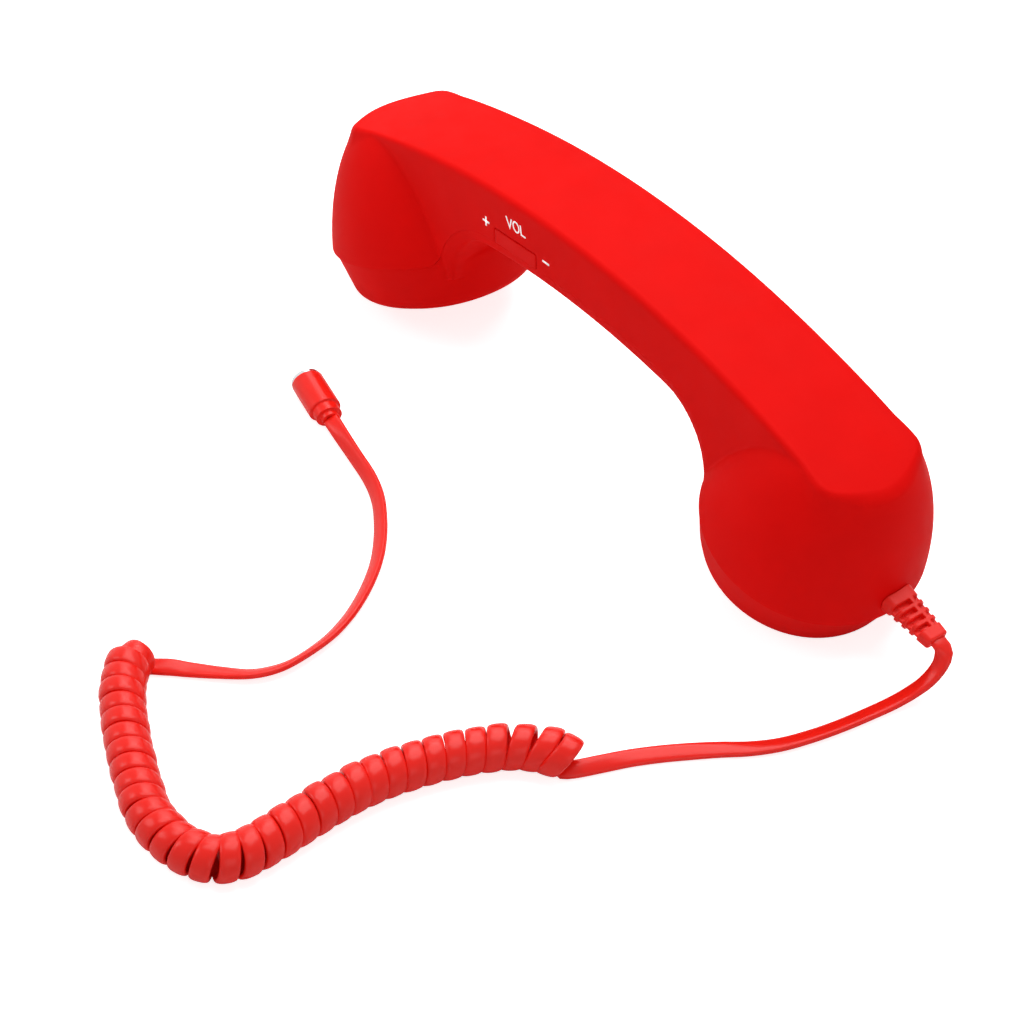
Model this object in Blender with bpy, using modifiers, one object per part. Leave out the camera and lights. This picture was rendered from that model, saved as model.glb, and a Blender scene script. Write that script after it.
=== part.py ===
"""Telephone handset with a flat curly cord, lying face down on a surface.

Metres, +Z up. X runs along the handset, from the ear cup (-X) to the mouth cup (+X). The origin is
under the middle of the handset, on the surface that it rests on. Each cup is turned about its own
axis, which leans outwards, so both caps face inwards and the handset stands on their outer rims.
"""

import math

import bmesh
import bpy
from mathutils import Matrix, Vector

MM = 0.001

# Housing
CUP_SPACING = 145.0 * MM  # between the centres of the two cap faces
CUP_TILT = math.radians(18.0)
WALL = 2.2 * MM
PARTING_HEIGHT = 14.6 * MM  # of the parting plane over the cap's face, along the cup's axis
PARTING_GAP = 0.3 * MM
DOME_RADIUS = 29.97 * MM  # the dome is an ellipse, turned about the cup's axis
DOME_CENTRE = 1.4 * MM
DOME_RISE = 53.5 * MM
CAP_LEDGE = 0.58 * MM  # the dome overhangs the cap at the parting plane
CAP_TAPER = 3.03 * MM  # of the cap, from the parting plane to its rim
FACE_FILLET = 3.27 * MM
FACE_THICKNESS = 2.2 * MM
LIP_RISE = 3.0 * MM  # ring on the front shell that centres the back shell
LIP_THICKNESS = 1.2 * MM

# Handle
HANDLE_WIDTH = 30.7 * MM
HANDLE_REACH = 95.0 * MM  # from the middle to the end, which runs out on the dome
CROWN_RADIUS = 288.7 * MM  # curve of the handle's back
CROWN_HEIGHT = 66.5 * MM
UNDERSIDE_RADIUS = 246.2 * MM
HANDLE_THICKNESS = 19.4 * MM  # in the middle of the handle
ARCH_HALF = 51.0 * MM  # half of the clear length between the cups
ARCH_FILLET = 15.0 * MM
EDGE_RADIUS = 3.0 * MM
SKIRT = 4.0 * MM  # how far the front shell comes up the sides of the handle
LEG_FADE = 3.5 * MM  # the arch's legs run out into the caps
LEG_DROP = 10.0 * MM

# Fits
CLEARANCE = 0.3 * MM
RUNNING_GAP = 0.35 * MM  # round a piece that moves

# Volume rocker, in the near side of the handle
ROCKER_X = -22.5 * MM
ROCKER_LENGTH = 16.8 * MM
ROCKER_HEIGHT = 4.1 * MM
ROCKER_RISE = SKIRT  # of its lower edge over the handle's underside
ROCKER_PROUD = 0.3 * MM
ROCKER_FLANGE = 0.9 * MM
ROCKER_FLANGE_THICKNESS = 0.9 * MM
ROCKER_FOOT = 0.5 * MM  # the flange and the lug stop short of the rocker's lower edge
ROCKER_TRAVEL = math.radians(3.0)
PIN_RADIUS = 0.6 * MM
PIN_DEPTH = 4.6 * MM  # of the pivot behind the handle's side
PIN_SOCKET = 1.2 * MM  # into the wall of the arch
PIN_POST = 2.8 * MM
PIN_POST_HEIGHT = 2.4 * MM
PIN_HOLD = 1.9 * MM
LUG_WALL = 0.8 * MM

# Call button, in the arch
BUTTON_LENGTH = 15.0 * MM
BUTTON_WIDTH = 7.0 * MM
BUTTON_PROUD = 0.7 * MM
BUTTON_FLANGE = 1.1 * MM
BUTTON_FLANGE_THICKNESS = 1.0 * MM
BUTTON_TRAVEL = 0.5 * MM

# Board and what is on it
BOARD_LENGTH = 61.0 * MM
BOARD_WIDTH = 19.0 * MM
BOARD_THICKNESS = 1.2 * MM
BOARD_POST_X = 26.0 * MM
BOARD_POST_RADIUS = 2.4 * MM
SWITCH_SIDE = 5.0 * MM
SWITCH_HEIGHT = 2.2 * MM
PLUNGER_RADIUS = 1.1 * MM
PLUNGER_RISE = 0.6 * MM
VOLUME_SWITCH_SPREAD = 5.2 * MM  # each side of the rocker's middle
VOLUME_SWITCH_WIDTH = 4.4 * MM
CHIP_SIZE = (9.0 * MM, 7.0 * MM, 1.6 * MM)
CHIP_X = 6.0 * MM

# Screws
SCREW_RADIUS = 1.25 * MM
SCREW_HEAD_RADIUS = 2.4 * MM
SCREW_HEAD_THICKNESS = 1.4 * MM
HOUSING_POST_X = 36.5 * MM
HOUSING_POST_RADIUS = 3.3 * MM
HOUSING_SCREW_LENGTH = 8.0 * MM
SCREW_SINK = 3.4 * MM  # of the head's seat over the handle's underside
SCREW_FLOOR = 1.8 * MM
CLAMP_SCREW_LENGTH = 6.0 * MM
BOARD_SCREW_LENGTH = 4.6 * MM

# Earpiece, along the ear cup's axis
SPEAKER_RADIUS = 17.5 * MM
SPEAKER_FLANGE = 1.0 * MM
BASKET_RADIUS = 13.0 * MM
BASKET_RISE = 5.0 * MM
BASKET_WALL = 1.0 * MM
MAGNET_RADIUS = 9.0 * MM
MAGNET_RISE = 4.0 * MM
CONE_THICKNESS = 0.5 * MM
GASKET_THICKNESS = 1.4 * MM
GASKET_WIDTH = 3.0 * MM
COLLAR_WALL = 1.4 * MM
RETAINER_THICKNESS = 1.3 * MM

# Microphone, along the mouth cup's axis
CAPSULE_RADIUS = 4.85 * MM
CAPSULE_RISE = 4.5 * MM
BOOT_WALL = 1.8 * MM

# Holes in the caps: one in the middle and rings of six, twelve, ...
HOLE_RADIUS = 1.0 * MM
HOLE_PITCH = 4.2 * MM
EAR_RINGS = 2
MOUTH_RINGS = 1

# Steel weights under the crown of each dome
WEIGHT_RADIUS = 12.0 * MM
WEIGHT_THICKNESS = 7.0 * MM

# Strain relief, square to the mouth cup's axis
RELIEF_HEIGHT = 21.3 * MM  # over the cap's face, along the cup's axis
RELIEF_END = 43.1 * MM  # from the cup's axis
RELIEF_ROOT_SIZE = (9.8 * MM, 5.8 * MM)
RELIEF_END_SIZE = (6.0 * MM, 4.0 * MM)
RELIEF_FLANGE = 1.6 * MM
RELIEF_FLANGE_THICKNESS = 1.8 * MM
RELIEF_NOSE = 2.3 * MM  # plain block at the root, and again at the end
SLOT_ROWS = 4
SLOT_WIDTH = 1.2 * MM
SLOT_DEPTH = 1.0 * MM
SLOT_BRIDGE = 1.1 * MM

# Clamp that holds the cord inside the mouth cup
CLAMP_PLACE = 13.0 * MM  # from the cup's axis
CLAMP_SIZE = (5.0 * MM, 17.0 * MM, 2.2 * MM)
CLAMP_SCREW_SPREAD = 6.0 * MM
CLAMP_POST_RADIUS = 2.3 * MM

# Cord: flat, so its tube here has the mean of its width and thickness
CORD_RADIUS = 1.6 * MM
WIRE_RADIUS = 0.55 * MM  # inside, to the earpiece and the microphone
WIRE_SPREAD = 6.0 * MM
WIRE_WAYS = [(0.3, 0.19), (0.54, 0.5)]  # shares of the dome's radius and of the room under its crown
COIL_RADIUS = 5.6 * MM
FLOOR_GAP = 0.05 * MM
ROUTE_STEP = 7.0 * MM
END_RUN = 0.5 * MM
STRAIGHT = 2.0 * MM  # straight bit at each end, so that its face is square to what it meets
TAIL_DOOR = 0.35  # how far aside the tail leaves the coil, as a share of the coil's radius

# The lead from the strain relief to the coil, the coil's axis, and the tail from the coil to the plug
LEAD_ROUTE = [
    (123.4, -0.5, 11.7), (123.6, -1.8, 8.7), (122.9, -4.2, 5.6), (121.7, -8.0, 3.1), (120.5, -12.6, 1.9),
    (119.6, -18.8, 1.65), (118.4, -27.3, 1.65), (116.7, -35.2, 1.65), (114.4, -42.6, 1.65), (111.1, -49.1, 1.65),
    (107.1, -54.9, 1.65), (103.4, -60.9, 1.65), (99.9, -67.1, 1.65), (96.8, -73.5, 1.65), (94.1, -80.3, 1.75),
]
COIL_ROUTE = [
    (91.4, -86.6), (85.6, -90.2), (80.6, -95.3), (76.9, -101.8), (74.1, -108.5), (71.9, -115.7), (70.2, -122.9),
    (69.2, -130.9), (69.2, -139.2), (69.8, -147.7), (70.4, -156.2), (70.4, -163.4), (68.0, -169.2), (62.6, -172.6),
    (55.6, -174.0), (47.6, -173.6), (39.2, -170.9), (30.1, -167.3), (21.1, -163.2), (12.2, -158.4), (5.9, -153.4),
    (2.6, -148.2),
]
TAIL_ROUTE = [
    (6.6, -143.0, 1.8), (10.6, -138.8, 1.65), (15.8, -133.7, 1.65), (20.7, -128.3, 1.65), (23.2, -122.6, 1.65),
    (23.7, -116.4, 1.65), (22.2, -106.9, 1.65), (19.3, -99.1, 1.65), (15.5, -92.3, 1.65), (11.1, -86.1, 1.65),
    (6.2, -80.5, 1.65), (0.6, -75.5, 1.65), (-5.5, -71.0, 1.65), (-12.1, -67.0, 1.65), (-19.6, -63.9, 1.7),
    (-28.0, -61.9, 2.2), (-36.0, -60.6, 3.1),
]

# Plug, lying on the surface beyond the tail
PLUG_START = (-44.4, -59.2)
PLUG_HEADING = math.radians(166.5)
PLUG_RADIUS = 3.7 * MM
PLUG_LENGTH = 12.8 * MM
NECKS = [(3.0 * MM, 2.4 * MM), (2.3 * MM, 1.6 * MM)]  # radius and length, from the barrel to the cord
NOSE_RADIUS = 3.25 * MM
NOSE_WALL = 0.75 * MM
NOSE_RISE = 1.3 * MM
NOSE_SEAT = 2.4 * MM
CONTACT_WALL = 0.45 * MM
CONTACT_LENGTH = 7.0 * MM
RING_STEPS = 40
HOLLOW_STEPS = 28
SMALL_STEPS = 16

UNDERSIDE_HEIGHT = CROWN_HEIGHT - HANDLE_THICKNESS
CAP_RADIUS = DOME_RADIUS * math.sqrt(1 - ((PARTING_HEIGHT - DOME_CENTRE) / DOME_RISE) ** 2) - CAP_LEDGE
FACE_RADIUS = CAP_RADIUS - CAP_TAPER
FACE_HEIGHT = (FACE_RADIUS - FACE_FILLET) * math.sin(CUP_TILT) + FACE_FILLET * (1 - math.cos(CUP_TILT))
EAR = -1
MOUTH = 1

RED = (0.62, 0.006, 0.008)
BRIGHT_RED = (0.72, 0.02, 0.014)
BLACK = (0.02, 0.02, 0.022)
GREEN = (0.02, 0.16, 0.06)
STEEL = (0.55, 0.55, 0.56)
BRASS = (0.7, 0.5, 0.2)
COPPER_RED = (0.35, 0.02, 0.02)


def clear_scene():
    for obj in list(bpy.data.objects):
        bpy.data.objects.remove(obj, do_unlink=True)


def make_collection(name):
    collection = bpy.data.collections.new(name)
    bpy.context.scene.collection.children.link(collection)
    return collection


def make_material(name, colour, roughness, metallic=0.0):
    made = bpy.data.materials.new(name)
    made.use_nodes = True
    shader = made.node_tree.nodes["Principled BSDF"]
    shader.inputs["Base Color"].default_value = (*colour, 1.0)
    shader.inputs["Roughness"].default_value = roughness
    shader.inputs["Metallic"].default_value = metallic
    made.diffuse_color = (*colour, 1.0)
    return made


def add_object(name, data, matrix, colour, roughness, metallic=0.0):
    """A part of the handset, with its own material, in the handset's collection."""
    obj = bpy.data.objects.new(name, data)
    obj.matrix_world = matrix
    PARTS.objects.link(obj)
    data.materials.clear()
    data.materials.append(make_material(name, colour, roughness, metallic))
    return obj


def add_cutter(name, data, matrix):
    obj = bpy.data.objects.new(name, data)
    obj.matrix_world = matrix
    obj.hide_render = True
    obj.display_type = "WIRE"
    CUTTERS.objects.link(obj)
    return obj


def combine(obj, other, operation):
    modifier = obj.modifiers.new(other.name, "BOOLEAN")
    modifier.operation = operation
    modifier.object = other
    return obj


def evaluated_mesh(obj):
    bpy.context.view_layer.update()
    graph = bpy.context.evaluated_depsgraph_get()
    return bpy.data.meshes.new_from_object(obj.evaluated_get(graph))


def smooth(obj, degrees=30):
    obj.data.shade_smooth()
    obj.data.set_sharp_from_angle(angle=math.radians(degrees))
    return obj


def bm_mesh(name, bm):
    mesh = bpy.data.meshes.new(name)
    bmesh.ops.recalc_face_normals(bm, faces=bm.faces)
    bm.to_mesh(mesh)
    bm.free()
    return mesh


def box_mesh(name, size, centre=(0, 0, 0), rounding=0.0):
    bm = bmesh.new()
    bmesh.ops.create_cube(bm, size=1.0)
    bmesh.ops.scale(bm, vec=size, verts=bm.verts)
    if rounding:
        bmesh.ops.bevel(bm, geom=bm.edges[:], offset=rounding, segments=2, profile=0.5, affect="EDGES")
    bmesh.ops.translate(bm, vec=centre, verts=bm.verts)
    return bm_mesh(name, bm)


def cylinder_mesh(name, radius, bottom, top, steps=SMALL_STEPS):
    bm = bmesh.new()
    bmesh.ops.create_cone(bm, cap_ends=True, segments=steps, radius1=radius, radius2=radius, depth=top - bottom)
    bmesh.ops.translate(bm, vec=(0, 0, (top + bottom) / 2), verts=bm.verts)
    return bm_mesh(name, bm)


def turned_mesh(name, profile, steps=RING_STEPS):
    """The mesh of a profile of (radius, height), outer side from top to bottom, turned about Z.

    A profile off the axis all along is a ring, and its last point joins its first. So does one that
    touches the axis along one edge only, half way: a solid with a blind bore.
    """
    mesh = bpy.data.meshes.new(name)
    points = [(radius, 0.0, height) for radius, height in profile]
    axis = [i for i, (radius, height) in enumerate(profile) if radius == 0.0]
    inner_bore = len(axis) == 2 and axis[1] == axis[0] + 1
    edges = [(i, i + 1) for i in range(len(points) - 1) if not (inner_bore and i == axis[0])]
    if not axis or inner_bore:
        edges.append((len(points) - 1, 0))
    mesh.from_pydata(points, edges, [])
    holder = add_cutter(name + "_profile", mesh, Matrix.Identity(4))
    screw = holder.modifiers.new("turn", "SCREW")
    screw.steps = steps
    screw.render_steps = steps
    screw.use_merge_vertices = True
    screw.merge_threshold = 1e-6
    turned = evaluated_mesh(holder)
    bpy.data.objects.remove(holder, do_unlink=True)
    bm = bmesh.new()
    bm.from_mesh(turned)
    bmesh.ops.dissolve_limit(bm, angle_limit=1e-3, verts=bm.verts, edges=bm.edges)
    return bm_mesh(name, bm)


def outline_mesh(name, points, width, rounding=0.0):
    """A flat outline of (x, z) points, made into a solid that reaches half its width each side of y = 0.

    Rounding moves the outline out by its radius and rounds its long edges.
    """
    curve = bpy.data.curves.new(name, "CURVE")
    curve.dimensions = "2D"
    curve.fill_mode = "BOTH"
    curve.extrude = width / 2 - rounding
    curve.bevel_depth = rounding
    curve.bevel_resolution = 2
    spline = curve.splines.new("POLY")
    spline.points.add(len(points) - 1)
    spline.use_cyclic_u = True
    for point, (x, z) in zip(spline.points, points):
        point.co = (x, z, 0.0, 1.0)
    holder = add_cutter(name + "_outline", curve, Matrix.Identity(4))
    mesh = evaluated_mesh(holder)
    bpy.data.objects.remove(holder, do_unlink=True)
    bm = bmesh.new()
    bm.from_mesh(mesh)
    bmesh.ops.remove_doubles(bm, verts=bm.verts, dist=1e-6)
    bmesh.ops.dissolve_limit(bm, angle_limit=1e-3, verts=bm.verts, edges=bm.edges)
    bmesh.ops.rotate(bm, verts=bm.verts, cent=(0, 0, 0), matrix=Matrix.Rotation(math.pi / 2, 3, "X"))
    return bm_mesh(name, bm)


def tube(name, route, radius, resolution, colour, roughness):
    """A cord or wire along a smooth curve through the points of its route, in metres."""
    curve = bpy.data.curves.new(name, "CURVE")
    curve.dimensions = "3D"
    curve.bevel_depth = radius
    curve.bevel_resolution = resolution
    curve.use_fill_caps = True
    points = smooth_route(route)
    spline = curve.splines.new("POLY")
    spline.points.add(len(points) - 1)
    for point, place in zip(spline.points, points):
        point.co = (*place, 1.0)
    return add_object(name, curve, Matrix.Identity(4), colour, roughness)


def smooth_route(route, step=ROUTE_STEP):
    """Points about a step apart on the Catmull-Rom curve through the route."""
    route = [Vector(point) for point in route]
    ends = [2 * route[0] - route[1], *route, 2 * route[-1] - route[-2]]
    fine = []
    for before, start, end, after in zip(ends, ends[1:], ends[2:], ends[3:]):
        for k in range(8):
            t = k / 8
            fine.append(
                0.5 * (2 * start + (end - before) * t + (2 * before - 5 * start + 4 * end - after) * t**2
                       + (3 * start - before - 3 * end + after) * t**3)
            )
    fine.append(route[-1])
    length = sum((b - a).length for a, b in zip(fine, fine[1:]))
    inner = max(1, round((length - 2 * END_RUN) / step))
    marks = [END_RUN + (length - 2 * END_RUN) * i / inner for i in range(inner + 1)]
    points = [fine[0]]
    run = 0.0
    for a, b in zip(fine, fine[1:]):
        span = (b - a).length
        while marks and run + span >= marks[0]:
            points.append(a.lerp(b, (marks.pop(0) - run) / span))
        run += span
    points.append(fine[-1])
    return points


def cup_frame(side):
    """Origin in the middle of the cap's face, +Z along the cup's axis into the cup."""
    place = Matrix.Translation((side * CUP_SPACING / 2, 0, FACE_HEIGHT))
    return place @ Matrix.Rotation(side * CUP_TILT, 4, "Y")


def arc_height(x, top, radius):
    return top - radius + math.sqrt(radius**2 - x**2)


def arc_points(reach, top, radius, count):
    xs = [reach * (2 * i / count - 1) for i in range(count + 1)]
    return [(x, arc_height(x, top, radius)) for x in xs]


def arch_points(grow):
    """The underside of the handle and the legs of its arch, from -X to +X, moved outwards by grow."""
    half = ARCH_HALF + grow
    fillet = ARCH_FILLET + grow
    top = UNDERSIDE_HEIGHT + grow
    radius = UNDERSIDE_RADIUS + grow
    centre_x = half - fillet
    centre_z = top - radius + math.sqrt((radius - fillet) ** 2 - centre_x**2)
    turn = math.atan2(centre_z - (top - radius), centre_x)
    steps = 7
    corner = [
        (centre_x + fillet * math.cos(turn * i / steps), centre_z + fillet * math.sin(turn * i / steps))
        for i in range(steps + 1)
    ]
    under = arc_points(corner[-1][0], top, radius, 14)[1:-1]
    left = [(-x, z) for x, z in corner]
    return left + under + corner[::-1]


def leg_points(grow):
    """How the +X leg of the arch runs out inside the cup, from the arch's wall to the handle's end."""
    foot = arch_points(grow)[-1]
    return [
        (foot[0] + LEG_FADE, foot[1] - LEG_DROP),
        (HANDLE_REACH - grow - 3 * WALL, foot[1] - LEG_DROP - 2 * WALL),
    ]


def handle_outline(grow):
    """The handle seen from the side. A grow of the wall's thickness gives its hollow."""
    crown = arc_points(HANDLE_REACH - grow, CROWN_HEIGHT - grow, CROWN_RADIUS - grow, 22)
    right = leg_points(grow)
    left = [(-x, z) for x, z in right]
    return crown + right[::-1] + arch_points(grow)[::-1] + left


def handle_form(name, grow, rounding):
    """The handle's block with its long edges rounded, or its hollow."""
    return outline_mesh(name, handle_outline(grow + rounding), HANDLE_WIDTH - 2 * grow, rounding)


def dome_radius(grow, height):
    """Radius of the dome, or of its hollow, at a height over the cap's face."""
    return (DOME_RADIUS - grow) * math.sqrt(1 - ((height - DOME_CENTRE) / (DOME_RISE - grow)) ** 2)


def dome_profile(grow, last):
    """Points down the dome, from its top to the height last."""
    radius = DOME_RADIUS - grow
    rise = DOME_RISE - grow
    start = math.asin((last - DOME_CENTRE) / rise)
    brow = math.radians(66.0)
    steps = 5 if grow > 0 else 7
    turned = [(0.0, DOME_CENTRE + rise)]
    for i in range(steps + 1):
        angle = brow + (start - brow) * i / steps
        turned.append((radius * math.cos(angle), DOME_CENTRE + rise * math.sin(angle)))
    return turned


def face_profile(grow):
    """Points round the cap's rim and across its face. The cap stands on the point turned by the tilt."""
    bottom = FACE_THICKNESS if grow else 0.0
    fillet = FACE_FILLET - grow
    steps = 1 if grow else 3
    turns = [CUP_TILT + (math.pi / 2 - CUP_TILT) * i / steps for i in range(steps, -1, -1)]
    rim = [
        (FACE_RADIUS - FACE_FILLET + fillet * math.sin(turn), bottom + fillet * (1 - math.cos(turn)))
        for turn in [*turns, 0.0]
    ]
    return [*rim, (0.0, bottom)]


def cup_form(name, side, grow):
    """The dome and the cap as one turned solid, or their hollow, cut off under the handle's crown."""
    profile = [
        *dome_profile(grow, PARTING_HEIGHT),
        (CAP_RADIUS - grow, PARTING_HEIGHT - (0.2 * MM if grow else 0.0)),
        *face_profile(grow),
    ]
    steps = HOLLOW_STEPS if grow else RING_STEPS
    form = add_cutter(name, turned_mesh(name, profile, steps), cup_frame(side))
    crown = arc_points(1.4 * HANDLE_REACH, CROWN_HEIGHT - grow - 0.1 * MM, CROWN_RADIUS - grow, 30)
    sky = CROWN_HEIGHT + DOME_RADIUS
    above = outline_mesh(name + "_sky", [(crown[-1][0], sky), (crown[0][0], sky), *crown], 4 * DOME_RADIUS)
    return combine(form, add_cutter(name + "_sky", above, Matrix.Identity(4)), "DIFFERENCE")


def front_zone(name, grow):
    """What belongs to the front shell: the arch with its skirt, and all under the cups' parting planes."""
    floor = -DOME_RADIUS
    arch = arch_points(SKIRT + grow)
    outline = [(arch[0][0], floor), *arch, (arch[-1][0], floor)]
    zone = add_cutter(name, outline_mesh(name, outline, HANDLE_WIDTH + 2 * grow + 0.8 * MM), Matrix.Identity(4))
    for side, tag in ((EAR, "ear"), (MOUTH, "mouth")):
        slab = cylinder_mesh(name + tag, 2 * DOME_RADIUS, floor, PARTING_HEIGHT + grow, 12)
        combine(zone, add_cutter(f"{name}_{tag}", slab, cup_frame(side)), "UNION")
    return zone


def housing_mesh():
    """Both shells in one piece, hollow."""
    hollow = add_cutter("hollow", handle_form("hollow", WALL, 0.0), Matrix.Identity(4))
    housing = add_cutter("housing", handle_form("housing", 0.0, EDGE_RADIUS), Matrix.Identity(4))
    for side, tag in ((EAR, "ear"), (MOUTH, "mouth")):
        combine(housing, cup_form("form_" + tag, side, 0.0), "UNION")
        combine(hollow, cup_form("hollow_" + tag, side, WALL), "UNION")
    combine(housing, hollow, "DIFFERENCE")
    return evaluated_mesh(housing)


def rocker_frame():
    """On the handle's near side at the rocker: +X along the rocker, +Y into the handle, +Z up the side."""
    slope = -math.asin(ROCKER_X / CROWN_RADIUS)
    low = arc_height(ROCKER_X, UNDERSIDE_HEIGHT, UNDERSIDE_RADIUS) + ROCKER_RISE
    place = Matrix.Translation((ROCKER_X, -HANDLE_WIDTH / 2, low + ROCKER_HEIGHT / 2))
    return place @ Matrix.Rotation(-slope, 4, "Y")


def pivot_frame():
    """At the rocker's pivot, on the middle of the pin."""
    return rocker_frame() @ Matrix.Translation((0, PIN_DEPTH, 0))


def flange_levels():
    """How far the rocker's flange and lug reach down and up the handle's side from its middle."""
    return -ROCKER_HEIGHT / 2 + ROCKER_FOOT, ROCKER_HEIGHT / 2 + ROCKER_FLANGE


def pin_levels():
    """Ends of the pin: in a socket in the wall of the arch, and in the post on the back shell."""
    wall_top = -ROCKER_HEIGHT / 2 - ROCKER_RISE + WALL
    return wall_top - PIN_SOCKET + CLEARANCE, post_foot() + PIN_HOLD


def post_foot():
    return flange_levels()[1] + RUNNING_GAP


def screw_mesh(name, length):
    """A pan head with a plain shank below it, pointing down from z = 0 under the head."""
    profile = [
        (0.0, SCREW_HEAD_THICKNESS),
        (SCREW_HEAD_RADIUS * 0.7, SCREW_HEAD_THICKNESS),
        (SCREW_HEAD_RADIUS, SCREW_HEAD_THICKNESS * 0.6),
        (SCREW_HEAD_RADIUS, 0.0),
        (SCREW_RADIUS, 0.0),
        (SCREW_RADIUS, -length + SCREW_RADIUS),
        (0.0, -length),
    ]
    return turned_mesh(name, profile, 12)


def ring_profile(inner, outer, bottom, top):
    return [(inner, top), (outer, top), (outer, bottom), (inner, bottom)]


def sound_holes(name, rings):
    """Cutters for a middle hole and rings of six, twelve and so on round it."""
    bm = bmesh.new()
    places = [(0.0, 0.0)]
    for ring in range(1, rings + 1):
        for i in range(6 * ring):
            angle = 2 * math.pi * i / (6 * ring)
            places.append((ring * HOLE_PITCH * math.cos(angle), ring * HOLE_PITCH * math.sin(angle)))
    for x, y in places:
        matrix = Matrix.Translation((x, y, FACE_THICKNESS / 2))
        bmesh.ops.create_cone(
            bm, cap_ends=True, segments=8, radius1=HOLE_RADIUS, radius2=HOLE_RADIUS, depth=3 * FACE_THICKNESS,
            matrix=matrix,
        )
    return bm_mesh(name, bm)


def call_outline(grow):
    """The call button's rounded outline in its own XY plane."""
    radius = BUTTON_WIDTH / 2 + grow
    run = BUTTON_LENGTH / 2 - BUTTON_WIDTH / 2
    points = []
    for centre, first in ((run, -math.pi / 2), (-run, math.pi / 2)):
        for i in range(9):
            angle = first + math.pi * i / 8
            points.append((centre + radius * math.cos(angle), radius * math.sin(angle)))
    return points


def button_mesh(name, grow, bottom, top):
    """The button's outline between two heights."""
    mesh = outline_mesh(name, call_outline(grow), top - bottom)
    mesh.transform(Matrix.Translation((0, 0, (top + bottom) / 2)) @ Matrix.Rotation(-math.pi / 2, 4, "X"))
    return mesh


def board_levels():
    """Heights of the call button's flange, its switch and the board, from the arch upwards."""
    wall_top = UNDERSIDE_HEIGHT + WALL
    flange_bottom = wall_top + CLEARANCE
    flange_top = flange_bottom + BUTTON_FLANGE_THICKNESS
    plunger_tip = flange_top + BUTTON_TRAVEL + CLEARANCE
    board_bottom = plunger_tip + PLUNGER_RISE + SWITCH_HEIGHT + CLEARANCE
    return flange_bottom, flange_top, plunger_tip, board_bottom


def screw_seat():
    """Height of the housing screws' heads where they bear on the front shell's bosses."""
    return arc_height(HOUSING_POST_X, UNDERSIDE_HEIGHT, UNDERSIDE_RADIUS) + SCREW_SINK


def boss_top():
    return screw_seat() + SCREW_FLOOR


def make_back_shell(shell):
    back = add_object("back_shell", shell.copy(), Matrix.Identity(4), RED, 0.45)
    combine(back, front_zone("back_cut", PARTING_GAP / 2), "DIFFERENCE")
    board_top = board_levels()[3] + BOARD_THICKNESS
    for x, radius, low, pilot, tag in (
        (-HOUSING_POST_X, HOUSING_POST_RADIUS, boss_top() + CLEARANCE, HOUSING_SCREW_LENGTH, "post_ear"),
        (HOUSING_POST_X, HOUSING_POST_RADIUS, boss_top() + CLEARANCE, HOUSING_SCREW_LENGTH, "post_mouth"),
        (-BOARD_POST_X, BOARD_POST_RADIUS, board_top + CLEARANCE, BOARD_SCREW_LENGTH, "board_post_1"),
        (BOARD_POST_X, BOARD_POST_RADIUS, board_top + CLEARANCE, BOARD_SCREW_LENGTH, "board_post_2"),
    ):
        high = arc_height(x, CROWN_HEIGHT, CROWN_RADIUS) - WALL / 2
        place = Matrix.Translation((x, 0, 0))
        combine(back, add_cutter(tag, cylinder_mesh(tag, radius, low, high, 14), place), "UNION")
        bore = cylinder_mesh(tag + "_bore", SCREW_RADIUS + CLEARANCE, low - WALL, low + pilot, 10)
        combine(back, add_cutter(tag + "_bore", bore, place), "DIFFERENCE")
    add_pin_post(back)
    cut_rocker_window(back, "back_rocker")
    cut_relief_port(back)
    return smooth(back)


def cut_rocker_window(shell, name):
    """The window for the rocker, which both shells share, and the bore for its pin."""
    frame = rocker_frame()
    swing = (PIN_DEPTH + ROCKER_PROUD) * math.sin(ROCKER_TRAVEL)
    size = (ROCKER_LENGTH + 2 * (RUNNING_GAP + swing), 4 * WALL, ROCKER_HEIGHT + 2 * RUNNING_GAP)
    combine(shell, add_cutter(name + "_window", box_mesh(name + "_window", size), frame), "DIFFERENCE")
    low, high = pin_levels()
    bore = cylinder_mesh(name + "_bore", PIN_RADIUS + CLEARANCE, low - CLEARANCE, high + CLEARANCE, 10)
    combine(shell, add_cutter(name + "_bore", bore, pivot_frame()), "DIFFERENCE")


def add_pin_post(back):
    """The post inside the handle's side that holds the pin's upper end."""
    depth = PIN_DEPTH + PIN_RADIUS + CLEARANCE + LUG_WALL - WALL / 2
    low = post_foot()
    centre = (0, WALL / 2 + depth / 2, low + PIN_POST_HEIGHT / 2)
    post = box_mesh("pin_post", (PIN_POST, depth, PIN_POST_HEIGHT), centre)
    combine(back, add_cutter("pin_post", post, rocker_frame()), "UNION")


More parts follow.
